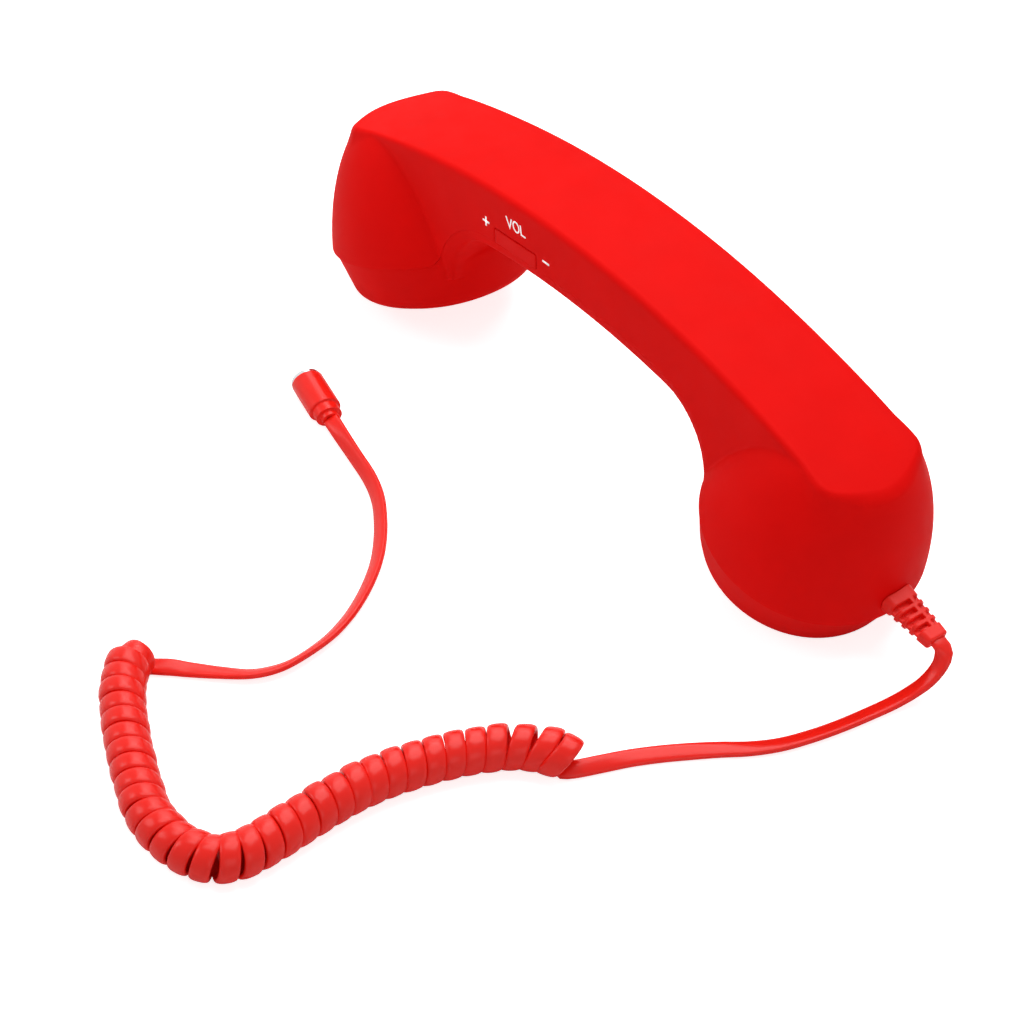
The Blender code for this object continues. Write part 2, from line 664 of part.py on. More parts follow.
def make_front_shell(shell):
    front = add_object("front_shell", shell.copy(), Matrix.Identity(4), RED, 0.45)
    combine(front, front_zone("front_keep", -PARTING_GAP / 2), "INTERSECT")
    root = dome_radius(WALL, PARTING_HEIGHT) - CLEARANCE
    tip = dome_radius(WALL, PARTING_HEIGHT + LIP_RISE) - CLEARANCE
    top, low = PARTING_HEIGHT + LIP_RISE, PARTING_HEIGHT - 2 * LIP_RISE
    for side, tag in ((EAR, "ear"), (MOUTH, "mouth")):
        frame = cup_frame(side)
        lip = [
            (tip - LIP_THICKNESS, top), (tip, top), (root, PARTING_HEIGHT), (root, low), (root - LIP_THICKNESS, low)
        ]
        ring = add_cutter("lip_" + tag, turned_mesh("lip_" + tag, lip, HOLLOW_STEPS), frame)
        room = box_mesh("lip_room_" + tag, (2 * CAP_RADIUS, HANDLE_WIDTH + 2 * WALL, 6 * LIP_RISE))
        inward = frame @ Matrix.Translation((-side * CAP_RADIUS, 0, PARTING_HEIGHT))
        combine(ring, add_cutter("lip_room_" + tag, room, inward), "DIFFERENCE")
        combine(front, ring, "UNION")
    ear = cup_frame(EAR)
    inner = SPEAKER_RADIUS + CLEARANCE
    collar = ring_profile(inner, inner + COLLAR_WALL, FACE_THICKNESS / 2, speaker_levels()[2])
    combine(front, add_cutter("ear_collar", turned_mesh("ear_collar", collar), ear), "UNION")
    mouth = cup_frame(MOUTH)
    inner = CAPSULE_RADIUS + CLEARANCE + BOOT_WALL + CLEARANCE
    collar = ring_profile(inner, inner + COLLAR_WALL, FACE_THICKNESS / 2, FACE_THICKNESS + CAPSULE_RISE)
    combine(front, add_cutter("mouth_collar", turned_mesh("mouth_collar", collar, 24), mouth), "UNION")
    for frame, rings, tag in ((ear, EAR_RINGS, "ear_holes"), (mouth, MOUTH_RINGS, "mouth_holes")):
        combine(front, add_cutter(tag, sound_holes(tag, rings), frame), "DIFFERENCE")
    window = button_mesh("call_window", RUNNING_GAP, UNDERSIDE_HEIGHT - WALL, UNDERSIDE_HEIGHT + 2 * WALL)
    combine(front, add_cutter("call_window", window, Matrix.Identity(4)), "DIFFERENCE")
    for x, tag in ((-HOUSING_POST_X, "ear"), (HOUSING_POST_X, "mouth")):
        low = arc_height(x, UNDERSIDE_HEIGHT, UNDERSIDE_RADIUS)
        place = Matrix.Translation((x, 0, 0))
        boss = cylinder_mesh("screw_boss_" + tag, HOUSING_POST_RADIUS + WALL / 2, low + WALL / 2, boss_top(), 14)
        sink = cylinder_mesh("screw_sink_" + tag, SCREW_HEAD_RADIUS + CLEARANCE, low - WALL, screw_seat(), 14)
        hole = cylinder_mesh("screw_hole_" + tag, SCREW_RADIUS + CLEARANCE, low - WALL, boss_top() + WALL, 10)
        combine(front, add_cutter("screw_boss_" + tag, boss, place), "UNION")
        combine(front, add_cutter("screw_sink_" + tag, sink, place), "DIFFERENCE")
        combine(front, add_cutter("screw_hole_" + tag, hole, place), "DIFFERENCE")
    for sign, tag in ((-1, "near"), (1, "far")):
        place = mouth @ Matrix.Translation((CLAMP_PLACE, sign * CLAMP_SCREW_SPREAD, 0))
        top = clamp_level() - CLEARANCE
        post = cylinder_mesh("clamp_post_" + tag, CLAMP_POST_RADIUS, FACE_THICKNESS / 2, top, 12)
        bore = cylinder_mesh("clamp_bore_" + tag, SCREW_RADIUS + CLEARANCE, top - CLAMP_SCREW_LENGTH, top + WALL, 10)
        combine(front, add_cutter("clamp_post_" + tag, post, place), "UNION")
        combine(front, add_cutter("clamp_bore_" + tag, bore, place), "DIFFERENCE")
    cut_rocker_window(front, "front_rocker")
    return smooth(front)


def make_housing_screws():
    for x, tag in ((-HOUSING_POST_X, "ear"), (HOUSING_POST_X, "mouth")):
        place = Matrix.Translation((x, 0, screw_seat() - CLEARANCE)) @ Matrix.Rotation(math.pi, 4, "X")
        screw = screw_mesh("housing_screw_" + tag, HOUSING_SCREW_LENGTH)
        smooth(add_object("housing_screw_" + tag, screw, place, STEEL, 0.35, 1.0))


def make_rocker():
    """The rocker's cap stands a little proud of the side, and a flange inside the wall keeps it in."""
    pivot = pivot_frame()
    flange_front = WALL + 2 * CLEARANCE
    flange_back = flange_front + ROCKER_FLANGE_THICKNESS
    depth = flange_back - ROCKER_FLANGE_THICKNESS / 2 + ROCKER_PROUD
    centre = (0, depth / 2 - ROCKER_PROUD - PIN_DEPTH, 0)
    cap = box_mesh("volume_rocker", (ROCKER_LENGTH, depth, ROCKER_HEIGHT), centre, 0.3 * MM)
    rocker = add_object("volume_rocker", cap, pivot, RED, 0.45)
    low, high = flange_levels()
    size = (ROCKER_LENGTH + 2 * ROCKER_FLANGE, ROCKER_FLANGE_THICKNESS, high - low)
    flange = box_mesh("rocker_flange", size, (0, (flange_front + flange_back) / 2 - PIN_DEPTH, (high + low) / 2))
    combine(rocker, add_cutter("rocker_flange", flange, pivot), "UNION")
    lug = cylinder_mesh("rocker_lug", PIN_RADIUS + CLEARANCE + LUG_WALL, low, high - ROCKER_FLANGE, 14)
    combine(rocker, add_cutter("rocker_lug", lug, pivot), "UNION")
    bore = cylinder_mesh("rocker_bore", PIN_RADIUS + CLEARANCE, -2 * ROCKER_HEIGHT, 2 * ROCKER_HEIGHT, 10)
    combine(rocker, add_cutter("rocker_bore", bore, pivot), "DIFFERENCE")
    pin = cylinder_mesh("rocker_pin", PIN_RADIUS, *pin_levels(), 10)
    smooth(add_object("rocker_pin", pin, pivot, STEEL, 0.3, 1.0))
    return rocker


def make_call_button():
    flange_bottom, flange_top = board_levels()[:2]
    low = UNDERSIDE_HEIGHT - BUTTON_PROUD
    stem = button_mesh("call_button", 0.0, 0.0, flange_top - low)
    button = add_object("call_button", stem, Matrix.Translation((0, 0, low)), RED, 0.45)
    flange = button_mesh("call_flange", BUTTON_FLANGE, flange_bottom, flange_top)
    combine(button, add_cutter("call_flange", flange, Matrix.Identity(4)), "UNION")
    return smooth(button)


def switch(name, size, place, plunger_at):
    """A push switch with its plunger along +Z, its base on z = 0."""
    body = add_object(name, box_mesh(name, size, (0, 0, size[2] / 2)), place, BLACK, 0.5)
    plunger = cylinder_mesh(name + "_plunger", PLUNGER_RADIUS, size[2] / 2, size[2] + PLUNGER_RISE, 12)
    at = place @ Matrix.Translation((0, plunger_at, 0))
    return combine(body, add_cutter(name + "_plunger", plunger, at), "UNION")


def make_board():
    board_bottom = board_levels()[3]
    board = add_object(
        "circuit_board",
        box_mesh("circuit_board", (BOARD_LENGTH, BOARD_WIDTH, BOARD_THICKNESS), (0, 0, BOARD_THICKNESS / 2)),
        Matrix.Translation((0, 0, board_bottom)), GREEN, 0.5,
    )
    notch_depth = PIN_DEPTH + PIN_RADIUS + 2 * CLEARANCE + LUG_WALL
    notch = box_mesh("board_notch", (PIN_POST + 3 * CLEARANCE, 2 * notch_depth, 8 * PIN_POST_HEIGHT))
    combine(board, add_cutter("board_notch", notch, rocker_frame()), "DIFFERENCE")
    for x, tag in ((-BOARD_POST_X, "1"), (BOARD_POST_X, "2")):
        place = Matrix.Translation((x, 0, board_bottom))
        hole = cylinder_mesh("board_hole_" + tag, SCREW_RADIUS + CLEARANCE, -WALL, WALL, 10)
        combine(board, add_cutter("board_hole_" + tag, hole, place), "DIFFERENCE")
        screw = screw_mesh("board_screw_" + tag, BOARD_SCREW_LENGTH)
        under = Matrix.Translation((x, 0, board_bottom - CLEARANCE)) @ Matrix.Rotation(math.pi, 4, "X")
        smooth(add_object("board_screw_" + tag, screw, under, STEEL, 0.35, 1.0))
    top = board_bottom + BOARD_THICKNESS + CLEARANCE
    chip = box_mesh("amplifier_chip", CHIP_SIZE, (0, 0, CHIP_SIZE[2] / 2))
    add_object("amplifier_chip", chip, Matrix.Translation((CHIP_X, 0, top)), BLACK, 0.4)
    under = board_bottom - CLEARANCE
    down = Matrix.Rotation(math.pi, 4, "X")
    switch("call_switch", (SWITCH_SIDE, SWITCH_SIDE, SWITCH_HEIGHT), Matrix.Translation((0, 0, under)) @ down, 0)
    make_volume_switches(under)


def make_volume_switches(under):
    """The two switches behind the rocker hang from the board with their plungers towards it."""
    middle = pivot_frame().translation
    flange_back = WALL + 2 * CLEARANCE + ROCKER_FLANGE_THICKNESS
    push = VOLUME_SWITCH_SPREAD * math.sin(ROCKER_TRAVEL)
    base = -HANDLE_WIDTH / 2 + flange_back + push + CLEARANCE + PLUNGER_RISE + SWITCH_HEIGHT
    for sign, name in ((-1, "volume_up_switch"), (1, "volume_down_switch")):
        x = middle.x + sign * VOLUME_SWITCH_SPREAD
        floor = arc_height(x, UNDERSIDE_HEIGHT, UNDERSIDE_RADIUS) + WALL + 2 * CLEARANCE
        centre = (under + floor) / 2
        height = middle.z + sign * VOLUME_SWITCH_SPREAD * math.sin(math.asin(-ROCKER_X / CROWN_RADIUS))
        place = Matrix.Translation((x, base, centre)) @ Matrix.Rotation(math.pi / 2, 4, "X")
        switch(name, (VOLUME_SWITCH_WIDTH, under - floor, SWITCH_HEIGHT), place, height + ROCKER_FOOT / 2 - centre)


def speaker_levels():
    """Heights over the cap's face: gasket, flange, collar's top, basket's top."""
    gasket = FACE_THICKNESS + CLEARANCE
    flange = gasket + GASKET_THICKNESS + CLEARANCE
    collar = flange + SPEAKER_FLANGE + CLEARANCE
    basket = flange + SPEAKER_FLANGE + BASKET_RISE
    return gasket, flange, collar, basket


def make_earpiece():
    frame = cup_frame(EAR)
    gasket, flange, collar, basket = speaker_levels()
    ring = ring_profile(SPEAKER_RADIUS - GASKET_WIDTH, SPEAKER_RADIUS, gasket, gasket + GASKET_THICKNESS)
    smooth(add_object("ear_gasket", turned_mesh("ear_gasket", ring, 32), frame, BLACK, 0.95))
    inner = BASKET_RADIUS - BASKET_WALL
    hub = MAGNET_RADIUS - 3 * MM
    profile = [
        (hub, basket),
        (BASKET_RADIUS, basket),
        (BASKET_RADIUS, flange + SPEAKER_FLANGE),
        (SPEAKER_RADIUS, flange + SPEAKER_FLANGE),
        (SPEAKER_RADIUS, flange),
        (inner, flange),
        (inner, basket - BASKET_WALL),
        (hub, basket - BASKET_WALL),
    ]
    smooth(add_object("speaker_frame", turned_mesh("speaker_frame", profile, 32), frame, STEEL, 0.4, 1.0))
    rim = inner - CLEARANCE
    low = flange + CLEARANCE
    cone = [
        (0.0, low + 2.6 * MM),
        (0.3 * rim, low + 2.1 * MM),
        (0.42 * rim, low + 1.2 * MM),
        (0.8 * rim, low + CONE_THICKNESS),
        (rim, low + CONE_THICKNESS + 0.3 * MM),
        (rim, low),
        (0.8 * rim, low),
        (0.42 * rim, low + 0.6 * MM),
        (0.25 * rim, low + 1.5 * MM),
        (0.0, low + 2.0 * MM),
    ]
    smooth(add_object("speaker_diaphragm", turned_mesh("speaker_diaphragm", cone, 24), frame, BLACK, 0.6))
    magnet = [
        (0.0, basket + CLEARANCE + MAGNET_RISE),
        (MAGNET_RADIUS, basket + CLEARANCE + MAGNET_RISE),
        (MAGNET_RADIUS, basket + CLEARANCE),
        (0.0, basket + CLEARANCE),
    ]
    smooth(add_object("speaker_magnet", turned_mesh("speaker_magnet", magnet, 24), frame, STEEL, 0.3, 1.0))
    low = collar + CLEARANCE
    keeper = ring_profile(BASKET_RADIUS + CLEARANCE, SPEAKER_RADIUS + COLLAR_WALL, low, low + RETAINER_THICKNESS)
    smooth(add_object("speaker_retainer", turned_mesh("speaker_retainer", keeper, 32), frame, BLACK, 0.5))


def make_microphone():
    frame = cup_frame(MOUTH)
    low = FACE_THICKNESS + CLEARANCE
    inner = CAPSULE_RADIUS + CLEARANCE
    outer = inner + BOOT_WALL
    floor = low + BOOT_WALL
    top = floor + CAPSULE_RISE
    boot = [(inner, top), (outer, top), (outer, low), (2 * HOLE_RADIUS, low), (2 * HOLE_RADIUS, floor), (inner, floor)]
    smooth(add_object("microphone_boot", turned_mesh("microphone_boot", boot, 24), frame, BLACK, 0.9))
    low = floor + CLEARANCE
    capsule = [(0.0, low + CAPSULE_RISE), (CAPSULE_RADIUS, low + CAPSULE_RISE), (CAPSULE_RADIUS, low), (0.0, low)]
    smooth(add_object("microphone_capsule", turned_mesh("microphone_capsule", capsule, 20), frame, STEEL, 0.3, 1.0))


def crown_on_axis():
    """Height over the cap's face at which the cup's axis meets the crown."""
    height = 0.0
    for _ in range(40):
        x = CUP_SPACING / 2 + height * math.sin(CUP_TILT)
        height = (arc_height(x, CROWN_HEIGHT, CROWN_RADIUS) - FACE_HEIGHT) / math.cos(CUP_TILT)
    return height


def make_weights():
    share = (WEIGHT_RADIUS + 2 * CLEARANCE) / (DOME_RADIUS - WALL)
    narrow = DOME_CENTRE + (DOME_RISE - WALL) * math.sqrt(1 - share**2)
    top = min(crown_on_axis() - WALL, narrow) - 2 * CLEARANCE
    for side, name in ((EAR, "ear_weight"), (MOUTH, "mouth_weight")):
        profile = [(0.0, top), (WEIGHT_RADIUS, top), (WEIGHT_RADIUS, top - WEIGHT_THICKNESS), (0.0, top - WEIGHT_THICKNESS)]
        smooth(add_object(name, turned_mesh(name, profile, 32), cup_frame(side), STEEL, 0.5, 1.0))


def relief_wall():
    """Distance of the dome's outer face from the cup's axis, at the strain relief's height."""
    return dome_radius(0.0, RELIEF_HEIGHT)


def relief_frame():
    """At the strain relief on the mouth cup's axis: +X outwards along it."""
    return cup_frame(MOUTH) @ Matrix.Translation((0, 0, RELIEF_HEIGHT))


def tapered_mesh(name, start, end, start_size, end_size, rounding):
    """A block along X whose section goes from one size to another."""
    bm = bmesh.new()
    bmesh.ops.create_cube(bm, size=1.0)
    for vert in bm.verts:
        size = start_size if vert.co.x < 0 else end_size
        vert.co = Vector((start if vert.co.x < 0 else end, vert.co.y * size[0], vert.co.z * size[1]))
    long_edges = [edge for edge in bm.edges if abs(edge.verts[0].co.x - edge.verts[1].co.x) > (end - start) / 2]
    bmesh.ops.bevel(bm, geom=long_edges, offset=rounding, segments=2, profile=0.5, affect="EDGES")
    return bm_mesh(name, bm)


def cut_relief_port(back):
    """The port through the wall, with its wall faced flat inside round the port."""
    size = [side + 2 * CLEARANCE for side in relief_neck()]
    port = box_mesh("relief_port", (6 * WALL, *size), (relief_wall(), 0, 0))
    combine(back, add_cutter("relief_port", port, relief_frame()), "DIFFERENCE")
    seat = [side + 2 * RELIEF_FLANGE for side in size]
    room = box_mesh("relief_seat", (3 * WALL, *seat), (relief_shoulder() - 1.5 * WALL, 0, 0))
    combine(back, add_cutter("relief_seat", room, relief_frame()), "DIFFERENCE")


def relief_neck():
    """Section of the strain relief where it passes through the wall."""
    return (RELIEF_ROOT_SIZE[0] - RELIEF_FLANGE, RELIEF_ROOT_SIZE[1] - RELIEF_FLANGE)


def relief_shoulder():
    """Inner face of the flat wall in which the strain relief's port is cut."""
    return relief_wall() - 1.35 * WALL


def relief_inner():
    return relief_shoulder() - CLEARANCE - RELIEF_FLANGE_THICKNESS


def make_strain_relief():
    frame = relief_frame()
    start = relief_wall()
    body = tapered_mesh("strain_relief", start - WALL / 2, RELIEF_END, RELIEF_ROOT_SIZE, RELIEF_END_SIZE, 1.0 * MM)
    relief = add_object("strain_relief", body, frame, BRIGHT_RED, 0.4)
    dome = [*dome_profile(-CLEARANCE, PARTING_HEIGHT), (0.0, PARTING_HEIGHT)]
    combine(relief, add_cutter("relief_dome", turned_mesh("relief_dome", dome), cup_frame(MOUTH)), "DIFFERENCE")
    inside = relief_inner()
    neck = box_mesh("relief_neck", (start + MM - inside, *relief_neck()), ((start + MM + inside) / 2, 0, 0))
    combine(relief, add_cutter("relief_neck", neck, frame), "UNION")
    flange_size = [side + 2 * RELIEF_FLANGE - 2 * CLEARANCE for side in relief_neck()]
    flange = box_mesh("relief_flange", (RELIEF_FLANGE_THICKNESS, *flange_size),
                      (inside + RELIEF_FLANGE_THICKNESS / 2, 0, 0))
    combine(relief, add_cutter("relief_flange", flange, frame), "UNION")
    combine(relief, add_cutter("relief_slots", slot_mesh(start), frame), "DIFFERENCE")
    return smooth(relief)


def slot_mesh(start):
    """Rows of slots, above and below, each row split by a bridge that changes sides from row to row."""
    bm = bmesh.new()
    first = start + RELIEF_NOSE
    pitch = (RELIEF_END - RELIEF_NOSE - first) / SLOT_ROWS
    for row in range(SLOT_ROWS):
        along = first + pitch * (row + 0.5)
        share = (along - start) / (RELIEF_END - start)
        width, height = (a + (b - a) * share for a, b in zip(RELIEF_ROOT_SIZE, RELIEF_END_SIZE))
        bridge = (1 if row % 2 else -1) * 0.16 * width
        for face in (-1, 1):
            for side in (-1, 1):
                near = bridge * face + side * SLOT_BRIDGE / 2
                far = side * (width / 2 + WALL)
                size = (SLOT_WIDTH, abs(far - near), 2 * SLOT_DEPTH)
                place = Matrix.Translation((along, (near + far) / 2, face * height / 2))
                bmesh.ops.create_cube(bm, size=1.0, matrix=place @ Matrix.Diagonal((*size, 1.0)))
    return bm_mesh("relief_slots", bm)


def clamp_level():
    """Height of the clamp's underside over the cap's face."""
    return RELIEF_HEIGHT + CORD_RADIUS + CLEARANCE


def make_inner_cable():
    """The cord inside the mouth cup, from the strain relief to its clamp."""
    frame = relief_frame()
    start = relief_inner() - CLEARANCE
    route = [frame @ Vector((start - way, 0, 0)) for way in (0, 3 * MM, 6 * MM)]
    route.append(frame @ Vector((CLAMP_PLACE - CLAMP_SIZE[0], 0, 0)))
    tube("inner_cable", route, CORD_RADIUS, 2, BRIGHT_RED, 0.35)
    place = cup_frame(MOUTH) @ Matrix.Translation((CLAMP_PLACE, 0, clamp_level()))
    bar = box_mesh("cord_clamp", CLAMP_SIZE, (0, 0, CLAMP_SIZE[2] / 2))
    clamp = add_object("cord_clamp", bar, place, BLACK, 0.5)
    for sign, tag in ((-1, "near"), (1, "far")):
        at = place @ Matrix.Translation((0, sign * CLAMP_SCREW_SPREAD, 0))
        hole = cylinder_mesh("clamp_hole_" + tag, SCREW_RADIUS + CLEARANCE, -WALL, 2 * WALL, 10)
        combine(clamp, add_cutter("clamp_hole_" + tag, hole, at), "DIFFERENCE")
        seat = at @ Matrix.Translation((0, 0, CLAMP_SIZE[2] + CLEARANCE))
        screw = screw_mesh("clamp_screw_" + tag, CLAMP_SCREW_LENGTH)
        smooth(add_object("clamp_screw_" + tag, screw, seat, STEEL, 0.35, 1.0))


def make_wires():
    """Two wires each from the earpiece and the microphone to the ends of the board."""
    ear_top = speaker_levels()[3] + CLEARANCE + MAGNET_RISE + CLEARANCE
    mouth_top = FACE_THICKNESS + 3 * CLEARANCE + BOOT_WALL + CAPSULE_RISE
    for tag, sign in (("near", -1), ("far", 1)):
        start = (MAGNET_RADIUS / 2, sign * WIRE_SPREAD / 2, ear_top + WIRE_RADIUS)
        tube("speaker_wire_" + tag, wire_route(EAR, sign, start), WIRE_RADIUS, 2, COPPER_RED, 0.5)
        start = (-CAPSULE_RADIUS / 2, sign * CAPSULE_RADIUS / 2, mouth_top + WIRE_RADIUS)
        tube("microphone_wire_" + tag, wire_route(MOUTH, sign, start), WIRE_RADIUS, 2, BLACK, 0.5)


def wire_route(side, sign, start):
    """From a place over the cap, up inside the dome, past the housing post and to the end of the board."""
    frame = cup_frame(side)
    room = crown_on_axis() - start[2]
    ways = [
        (-side * reach * DOME_RADIUS, sign * WIRE_SPREAD * (0.4 + reach), start[2] + share * room)
        for reach, share in WIRE_WAYS
    ]
    board_bottom = board_levels()[3]
    over = Vector((side * (HOUSING_POST_X + 3 * HOUSING_POST_RADIUS), sign * WIRE_SPREAD,
                   board_bottom + 2 * BOARD_THICKNESS))
    last = Vector((side * (BOARD_LENGTH / 2 + CLEARANCE), sign * WIRE_SPREAD, board_bottom + BOARD_THICKNESS / 2))
    return [*[frame @ Vector(point) for point in (start, *ways)], over, last]


def cord_points(route):
    return [Vector(point) * MM for point in route]


def make_cord():
    """The flat lead, the curly part as one fat tube, and the flat tail. Their ends meet face to face."""
    out = relief_frame()
    axis = [Vector((x * MM, y * MM, COIL_RADIUS + FLOOR_GAP)) for x, y in COIL_ROUTE]
    leaving = [out @ Vector((RELIEF_END + CLEARANCE + way, 0, 0)) for way in (0, STRAIGHT)]
    entering = coil_door(axis[0], axis[0] - axis[1], 0.0)
    tube("cord_lead", [*leaving, *cord_points(LEAD_ROUTE), *reversed(entering)], CORD_RADIUS, 2, BRIGHT_RED, 0.3)
    tube("cord_coil", axis, COIL_RADIUS, 4, BRIGHT_RED, 0.3)
    leaving = coil_door(axis[-1], axis[-1] - axis[-2], TAIL_DOOR)
    entering = [plug_frame() @ Vector((0, 0, -CLEARANCE - way)) for way in (STRAIGHT, 0)]
    tube("cord_tail", [*leaving, *cord_points(TAIL_ROUTE), *entering], CORD_RADIUS, 2, BRIGHT_RED, 0.3)


def coil_door(end, outward, aside):
    """Where the flat cord meets the end face of the coil's tube, low on that face, and a point beyond."""
    outward = outward.normalized()
    across = outward.cross(Vector((0, 0, 1)))
    low = Vector((0, 0, CORD_RADIUS + FLOOR_GAP - end.z))
    return [end + outward * (2 * CLEARANCE + way) + across * (aside * COIL_RADIUS) + low for way in (0, STRAIGHT)]


def plug_frame():
    """At the cord's end of the plug, +Z along the plug away from the cord."""
    x, y = PLUG_START
    place = Matrix.Translation((x * MM, y * MM, PLUG_RADIUS + FLOOR_GAP))
    return place @ Matrix.Rotation(PLUG_HEADING, 4, "Z") @ Matrix.Rotation(math.pi / 2, 4, "Y")


def make_plug():
    frame = plug_frame()
    neck_length = sum(length for radius, length in NECKS)
    end = neck_length + PLUG_LENGTH
    bore = NOSE_RADIUS - NOSE_WALL
    edge = 0.5 * MM
    profile = [
        (NOSE_RADIUS + CLEARANCE, end),
        (PLUG_RADIUS - 0.1 * MM, end),
        (PLUG_RADIUS, end - edge),
        (PLUG_RADIUS, neck_length + edge),
        (PLUG_RADIUS - edge, neck_length),
    ]
    height = neck_length
    for radius, length in NECKS:
        profile += [(radius, height), (radius, height - length)]
        height -= length
    seat = end - NOSE_SEAT - CLEARANCE
    deep = end - CONTACT_LENGTH - CLEARANCE
    profile += [(0.0, 0.0)]
    inside = [(0.0, deep), (bore, deep), (bore, seat), (NOSE_RADIUS + CLEARANCE, seat)]
    profile += inside
    smooth(add_object("plug_overmould", turned_mesh("plug_overmould", profile, 24), frame, BRIGHT_RED, 0.3))
    nose = ring_profile(bore, NOSE_RADIUS, end - NOSE_SEAT, end + NOSE_RISE)
    smooth(add_object("plug_nose", turned_mesh("plug_nose", nose, 24), frame, STEEL, 0.25, 1.0))
    outer = bore - CLEARANCE
    contact = ring_profile(outer - CONTACT_WALL, outer, end - CONTACT_LENGTH, end)
    smooth(add_object("plug_contact", turned_mesh("plug_contact", contact, 24), frame, BRASS, 0.3, 1.0))


clear_scene()
PARTS = make_collection("telephone_handset")
CUTTERS = make_collection("cutters")
CUTTERS.hide_render = True

SHELL = housing_mesh()
make_back_shell(SHELL)
make_front_shell(SHELL)
make_housing_screws()
make_rocker()
make_call_button()
make_board()
make_earpiece()
make_microphone()
make_weights()
make_strain_relief()
make_inner_cable()
make_wires()
make_cord()
make_plug()
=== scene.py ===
"""Looks of a red telephone handset that stands face down beside its flat curly cord."""

import math

import bmesh
import bpy
import numpy as np
from mathutils import Matrix, Vector


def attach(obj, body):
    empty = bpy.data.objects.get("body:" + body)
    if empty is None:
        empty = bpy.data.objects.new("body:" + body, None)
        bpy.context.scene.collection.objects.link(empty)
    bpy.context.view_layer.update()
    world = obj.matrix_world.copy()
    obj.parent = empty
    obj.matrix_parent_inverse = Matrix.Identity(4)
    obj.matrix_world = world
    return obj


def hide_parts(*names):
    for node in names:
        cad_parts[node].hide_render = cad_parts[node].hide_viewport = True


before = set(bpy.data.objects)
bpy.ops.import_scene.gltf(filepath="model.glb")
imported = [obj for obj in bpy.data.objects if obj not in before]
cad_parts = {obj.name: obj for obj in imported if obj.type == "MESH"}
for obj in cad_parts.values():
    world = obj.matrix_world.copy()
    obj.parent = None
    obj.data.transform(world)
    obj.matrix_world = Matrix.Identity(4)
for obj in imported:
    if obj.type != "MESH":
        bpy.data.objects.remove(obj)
bpy.context.scene.view_settings.view_transform = "Standard"
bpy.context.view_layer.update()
MM = 0.001

# Housing, in millimetres. Most values are those of the part's source; the finer ones were fitted to the photograph.
CUP_X = 72.5
CUP_TILT = math.radians(18.0)
PARTING = 14.6
DOME_RADIUS, DOME_CENTRE, DOME_RISE = 29.97, 1.4, 53.5
CAP_STEP = 0.58  # by which the dome's rim overhangs the cap
CAP_RADIUS = DOME_RADIUS * math.sqrt(1 - ((PARTING - DOME_CENTRE) / DOME_RISE) ** 2) - CAP_STEP
STEP_FADE_START, STEP_FADE_RUN = 12.0, 8.0  # towards the handle, where the step fades out
FACE_RADIUS, FACE_FILLET = CAP_RADIUS - 3.03, 3.27
FACE_HEIGHT = (FACE_RADIUS - FACE_FILLET) * math.sin(CUP_TILT) + FACE_FILLET * (1 - math.cos(CUP_TILT))
WALL = 2.0
HANDLE_WIDTH = 30.7
HANDLE_REACH, HANDLE_END_RADIUS = 97.6, 46.0
HANDLE_FLOOR = 24.0  # below it the cups carry on alone
CROWN_RADIUS, CROWN_HEIGHT = 288.7, 66.5
UNDERSIDE_RADIUS, UNDERSIDE_HEIGHT = 246.2, 47.1
ARCH_HALF, ARCH_FILLET = 51.0, 15.0
EDGE_RADII = [60, 80, 88, 96], [1.8, 1.3, 1.3, 1.6]  # of the crown's edges, along the handle
ARCH_EDGE_RADIUS = 1.6
END_ROUNDING = 2.6  # of the handle's corners, seen from above
CREASE_RADII = [85, 92], [0.4, 3.0]  # between the domes and the handle, along the handle
SKIRT = 4.0  # height of the front shell's side along the arch
SKIRT_TAPER, SKIRT_LEDGE = 0.24, 0.06
PARTING_GAP, PARTING_FILLET = 0.05, 0.8
RIM_ROUNDING = 0.09
ROCKER_X, ROCKER_Z = -22.5, 52.12
ROCKER_LENGTH, ROCKER_HEIGHT, ROCKER_CORNER = 16.8, 4.1, 0.25
ROCKER_PROUD, ROCKER_DISH = 0.1, 0.12
ROCKER_GAP = 0.27
BUTTON_STRAIGHT, BUTTON_RADIUS, BUTTON_GAP = 4.0, 3.5, 0.35
SCREW_X, SCREW_BORE = 36.5, 2.7
GRILLE_RADIUS, GRILLE_THICKNESS = 20.0, 2.2
SOUND_HOLE_RADIUS, SOUND_RING_PITCH = 1.0, 4.2

RED = (0.85, 0.0034, 0.0026)
CORD_RED = (0.93, 0.015, 0.008)


# ---------------------------------------------------------------- camera, floor and light

CAMERA_ANGLES = 51.494, 41.416, 1.007  # azimuth, elevation and roll, in degrees
CAMERA_TARGET_HEIGHT = 0.037018
CAMERA_LEFT, CAMERA_DOWN, CAMERA_BACK = 0.025685, 0.050331, 0.738311  # from the target, along the camera's own axes
CAMERA_LENS = 101.517
WORLD_LIGHT = 0.30
FLOOR_HALF, FLOOR_SHADE, FLOOR_GLOW = 4, 0.86, 0.78  # the glow is only what the camera sees


